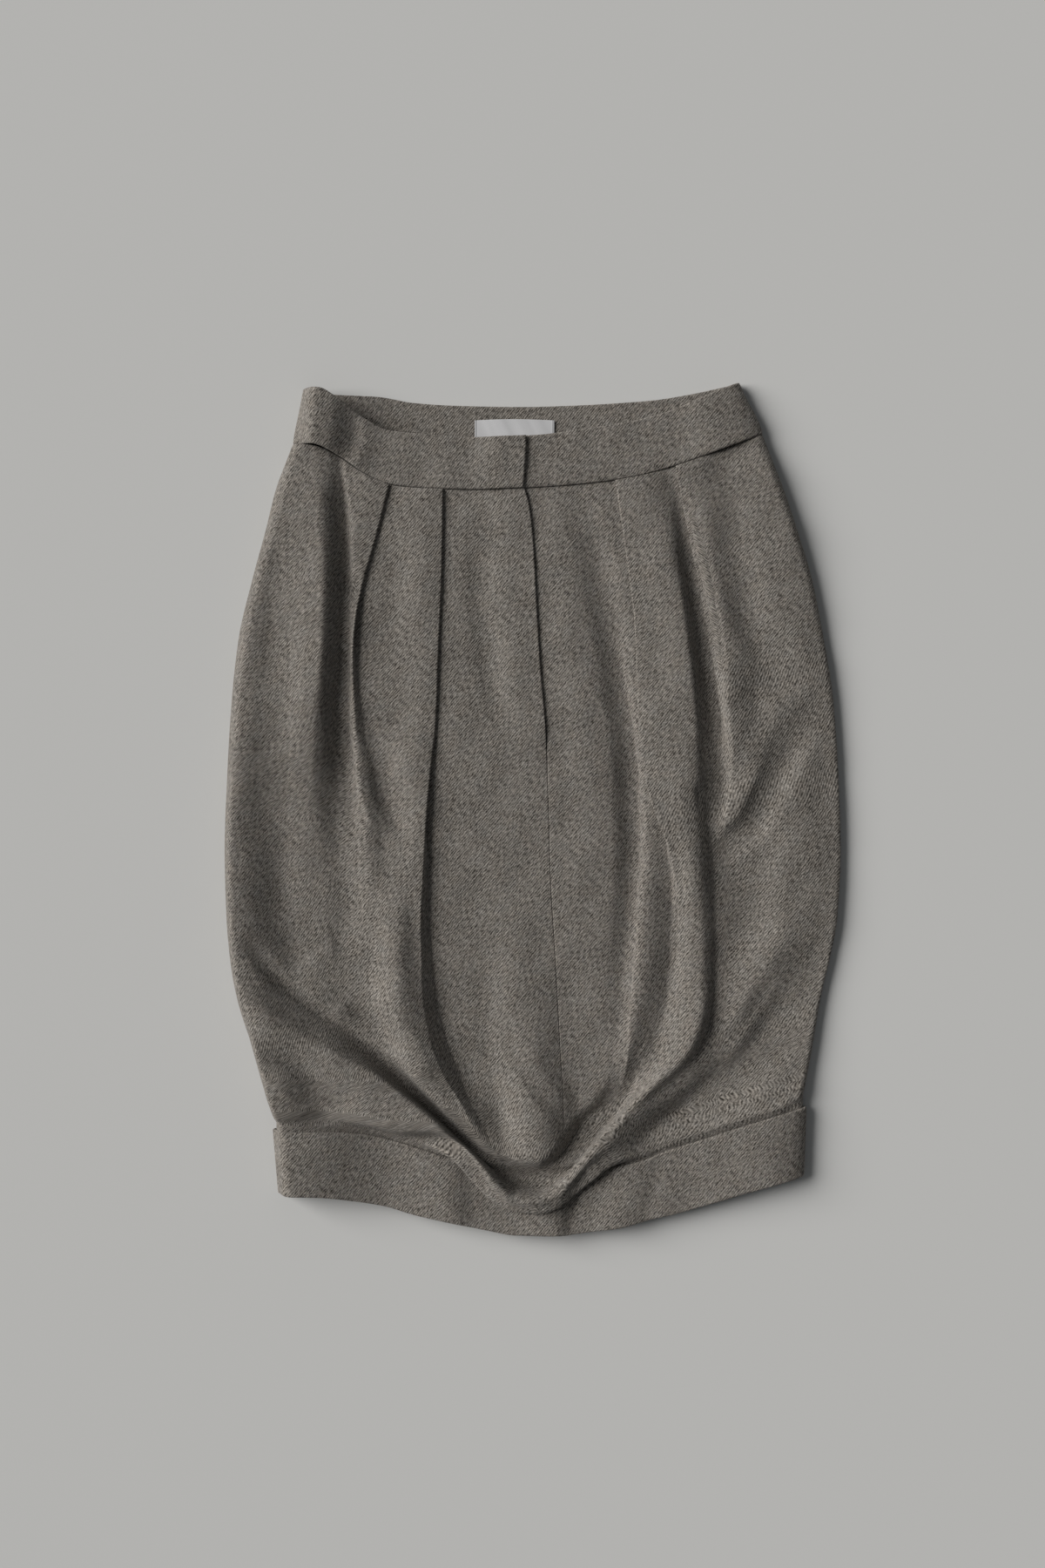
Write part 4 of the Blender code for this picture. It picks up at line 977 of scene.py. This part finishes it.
def edged_shares(count, length):
    """Shares from 0 to 1 with a few close steps at both ends, where an edge rounds over."""
    close = np.array(CLOSE_STEPS) / length
    plain = np.linspace(2 / length, 1 - 2 / length, count)
    return np.concatenate([close, plain, 1 - close[::-1]])


def front_band(hand):
    """Half of the front waistband, from its side seam to the lap."""
    rows = []
    for share in edged_shares(BAND_ROWS, BAND_TALL):
        side_along = FRONT_BAND_TOP[0 if hand < 0 else -1].along
        lap_along = edge_along(FRONT_BAND_TOP, 0)
        for _ in range(4):
            side = column(BAND_ENDS, HANDS[hand], side_along) - hand * DOUBLED / 2
            end = column(BAND_ENDS, "lap", lap_along) - (0 if hand < 0 else BAND_LAP)
            rolled = side - hand * rolled_steps(BAND_ROLL)
            inner = edged_shares(BAND_COLUMNS, BAND_HALF)[len(CLOSE_STEPS):]
            across = np.concatenate([rolled, rolled[-1] + (end - rolled[-1]) * inner])
            top = edge_along(FRONT_BAND_TOP, across)
            bottom = edge_along(WAIST_SEAM, across) + SEAM_GAP / 2
            along = top + (bottom - top) * share
            side_along = along[0]
            lap_along = along[-1]
        height = BAND_HIGH + fold_height(BAND_FOLDS, across, along) + unevenness(across, along)
        height = height - SEAM_DIP * np.exp(-((1 - share) * BAND_TALL / SEAM_DIP_WIDE) ** 2)
        if hand < 0:
            past_lap = np.abs(across - end) - BAND_LAP - BAND_HOLD
            height = height + (DOUBLED + LAYER_CLEAR) * grown(past_lap, BAND_SETTLES)
        rows.append([across, along, side_roll(np.abs(across - side), height, BAND_ROLL)])
    return np.array(rows).transpose(0, 2, 1)


def back_band():
    """The back waistband, flat on the surface, its two ends rounding up to the side seams."""
    rows = []
    for share in edged_shares(BAND_ROWS, BAND_TALL):
        left_along, right_along = (
            top.along + (seam.along - top.along) * share
            for top, seam in ((BACK_BAND_TOP[0], BACK_SEAM[0]), (BACK_BAND_TOP[-1], BACK_SEAM[-1])))
        left = column(BAND_ENDS, "left", left_along) + DOUBLED / 2
        right = column(BAND_ENDS, "right", right_along) - DOUBLED / 2
        across = rounded_columns(left, right, BACK_ROLL, BACK_BAND_COLUMNS)
        top = edge_along(BACK_BAND_TOP, across)
        bottom = edge_along(BACK_SEAM, across) + SEAM_GAP / 2
        rows.append([across, top + (bottom - top) * share,
                     seam_rise(across, BACK_ROLL, DOUBLED / 2)])
    return np.array(rows).transpose(0, 2, 1)


band_pieces = [
    ("band_front_left", front_band(-1), -1, "waistband_front_left", (0.185, 0.041),
     ["cloth_front_left"]),
    ("band_front_right", front_band(1), -1, "waistband_front_right", (0.205, 0.041),
     ["cloth_front_right"]),
    ("band_back", back_band(), BACK_BAND_GRAIN, "waistband_back", (0.350, 0.041), ["floor"]),
]
for name, rows, grain_across, node, flat, under in band_pieces:
    piece = cloth_piece(name, rows, DOUBLED, wool, grain_across)
    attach(piece, "root")
    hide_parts(node)


# The cuff ------------------------------------------------------------------------------------
# A doubled, turned-up cuff about 47 mm tall, in a front and a back piece. The skirt's gathered
# hem runs down inside it, and the front's droop hangs over its top edge.
CUFF_TALL = 47.0
CUFF_COLUMNS = 210
CUFF_ROWS = 40


def cuff(in_front):
    """The turned-up cuff, front or back, outside the skirt's hem."""
    inner = TUCK_ROLL if in_front else BACK_ROLL
    roll = inner + (DOUBLED + CLOTH) / 2 + LAYER_CLEAR
    rows = []
    for share in edged_shares(CUFF_ROWS, CUFF_TALL):
        left, right = (
            cuff_side(hand, end.top + (end.hem - end.top) * share) - hand * DOUBLED / 2
            for hand, end in CUFF_ENDS.items())
        across = rounded_columns(left, right, roll, CUFF_COLUMNS)
        top = edge_along(CUFF_TOP, across)
        along = top + (edge_along(HEM, across) - top) * share
        if in_front:
            level = HEM_HIGH + (DOUBLED + CLOTH) / 2 + LAYER_CLEAR
            level = level + fold_height(CUFF_FOLDS, across, along)
            level = level + unevenness(across, along) / 2
            height = side_roll(np.minimum(across - left, right - across), level, roll)
            height[-1] = SIDE_SEAM_HIGH
        else:
            height = seam_rise(across, roll, DOUBLED / 2)
        rows.append([across, along, height])
    return np.array(rows).transpose(0, 2, 1)


for name, node, in_front in (("turnup_front", "cuff_front", True),
                             ("turnup_back", "cuff_back", False)):
    piece = cloth_piece(name, cuff(in_front), DOUBLED, wool, grain_across=CUFF_COLUMNS // 2)
    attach(piece, "root")
    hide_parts(node)


# The label -----------------------------------------------------------------------------------
# A silver-white satin label, 59 mm wide, sewn to the inside of the back band and half hidden by
# the front. It has a woven selvedge at each end, and soft slanting stripes of painted sheen in its
# colour.
LABEL_WIDE = 59.0
LABEL_TALL = 27.0
LABEL_THICK = 0.5
LABEL_LEFT = -43.0
LABEL_TOP = 287.0
LABEL_COLUMNS = 60
LABEL_ROWS = 24
LABEL_LIFT = 0.7         # its top edge stands off the band
LABEL_RIPPLE = 0.18
LABEL_RIPPLE_LONG = 9.5
LABEL_BOW = 0.9          # its top edge bows up in the middle
LABEL_DROOP = 0.3        # and its ends hang a little
SELVEDGE_WIDE = 1.9
SATIN_LINE = 0.36        # from one weft line to the next
SATIN_GREY = 0.42
# Painted sheen: soft slanting lighter and darker stripes in the label's colour stand in for light
# glancing off the satin.
PAINTED_SHEEN_BANDS = Pattern(95.0, 1.0, 0.5, 0.30)
PAINTED_SHEEN_SLANT = 0.5
PAINTED_SHEEN_DRIFT = 0.3
WEFT_STRENGTH = 0.022
LINE_WIDE = 0.5          # a lighter line beside each selvedge
LINE_STRENGTH = 0.10
SELVEDGE_STRENGTH = -0.27
SATIN_TINT = (1.0, 1.0, 1.015)


def label_rows():
    """The label's middle, lying on the band and lifting a little along its top edge."""
    across = LABEL_LEFT + LABEL_WIDE * edged_shares(LABEL_COLUMNS, LABEL_WIDE)
    rows = []
    for share in edged_shares(LABEL_ROWS, LABEL_TALL):
        along = LABEL_TOP - LABEL_TALL * share
        from_left = across - LABEL_LEFT
        ripple = LABEL_RIPPLE * np.sin(from_left / LABEL_RIPPLE_LONG) * (1 - share) ** 2
        level = DOUBLED + SEAM_GAP + LABEL_THICK / 2 + LABEL_LIFT * (1 - share) ** 3 + ripple
        bow = LABEL_BOW * np.sin(from_left / LABEL_WIDE * math.pi) - LABEL_DROOP
        rows.append([across, along + bow * (1 - share), level])
    return np.array(rows).transpose(0, 2, 1)


def satin_material():
    """Silver-white satin: fine weft lines, a selvedge at each end, and soft slanting stripes of
    painted sheen in its colour.
    """
    material, tree, shader, cut = cloth_material(
        "label satin", {"Roughness": 0.42, "Sheen Weight": 0.15})
    split = tree.nodes.new("ShaderNodeSeparateXYZ")
    tree.links.new(cut, split.inputs[0])
    middle = 0.5 + (LABEL_LEFT + LABEL_WIDE / 2) * MM
    from_middle = math_node(tree, "SUBTRACT", split.outputs[0], middle)
    from_middle = math_node(tree, "ABSOLUTE", from_middle)
    from_end = math_node(tree, "SUBTRACT", LABEL_WIDE / 2 * MM, from_middle)
    selvedge = math_node(tree, "LESS_THAN", from_end, SELVEDGE_WIDE * MM)
    edge_line = math_node(tree, "LESS_THAN", from_end, (SELVEDGE_WIDE + LINE_WIDE) * MM)
    weft = math_node(tree, "SINE", math_node(tree, "MULTIPLY", split.outputs[1],
                                             2 * math.pi / (SATIN_LINE * MM)))
    # Painted sheen: a slanting noise lightens and darkens the label's base colour in soft stripes,
    # standing in for the satin's reflection.
    slant = math_node(tree, "MULTIPLY_ADD", split.outputs[1], PAINTED_SHEEN_SLANT, split.outputs[0])
    painted_sheen_place = joined_vector(tree, slant, math_node(tree, "MULTIPLY", slant, PAINTED_SHEEN_DRIFT))
    painted_sheen = noise(tree, painted_sheen_place, PAINTED_SHEEN_BANDS)
    value = SATIN_GREY
    for found, strength in ((painted_sheen, PAINTED_SHEEN_BANDS.strength), (weft, WEFT_STRENGTH),
                            (edge_line, LINE_STRENGTH), (selvedge, SELVEDGE_STRENGTH)):
        value = math_node(tree, "MULTIPLY_ADD", found, strength, value)
    colour = tree.nodes.new("ShaderNodeCombineColor")
    for socket, share in zip(colour.inputs, SATIN_TINT):
        tree.links.new(math_node(tree, "MULTIPLY", value, share), socket)
    tree.links.new(colour.outputs[0], shader.inputs["Base Color"])
    return material


label = cloth_piece("satin_label", label_rows(), LABEL_THICK, satin_material(),
                    grain_across=LABEL_COLUMNS // 2)
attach(label, "root")
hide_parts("label")


# Where it lies -------------------------------------------------------------------------------
# The skirt lies on a pale grey floor under soft daylight from the upper left, seen straight
# from above.
floor_mesh = bpy.data.meshes.new("floor")
floor_grid = bmesh.new()
bmesh.ops.create_grid(floor_grid, x_segments=1, y_segments=1, size=3.0)
floor_grid.to_mesh(floor_mesh)
floor_grid.free()
floor = placed("floor", floor_mesh)
paint = bpy.data.materials.new("pale grey floor")
paint.use_nodes = True
set_values(paint.node_tree.nodes["Principled BSDF"],
           {"Base Color": (0.60, 0.60, 0.59, 1), "Roughness": 0.9})
floor_mesh.materials.append(paint)

world = bpy.data.worlds.new("daylight")
world.use_nodes = True
set_values(world.node_tree.nodes["Background"],
           {"Color": (0.95, 0.98, 1.0, 1), "Strength": 0.12})
bpy.context.scene.world = world
bpy.context.scene.view_settings.view_transform = "Standard"

# A broad window low on the left and a little above: 32 degrees up, and 42 degrees wide.
window_data = bpy.data.lights.new("window", "SUN")
window_data.energy = 3.74
window_data.angle = math.radians(42)
window_data.color = (1.0, 0.985, 0.965)
window = placed("window", window_data)
window.rotation_euler = Vector((1.0, -0.30, -0.64)).to_track_quat("-Z", "Y").to_euler()

# A 50 mm lens 1.6 m over the cloth, where the photograph's height is 1.152 m. It stands a little
# to the left of the skirt's middle and towards its waist.
camera_data = bpy.data.cameras.new("camera")
camera_data.lens = 50
camera_data.sensor_width = 36
camera = placed("camera", camera_data)
camera.location = (-0.0077, 0.0182, 1.612)
bpy.context.scene.camera = camera
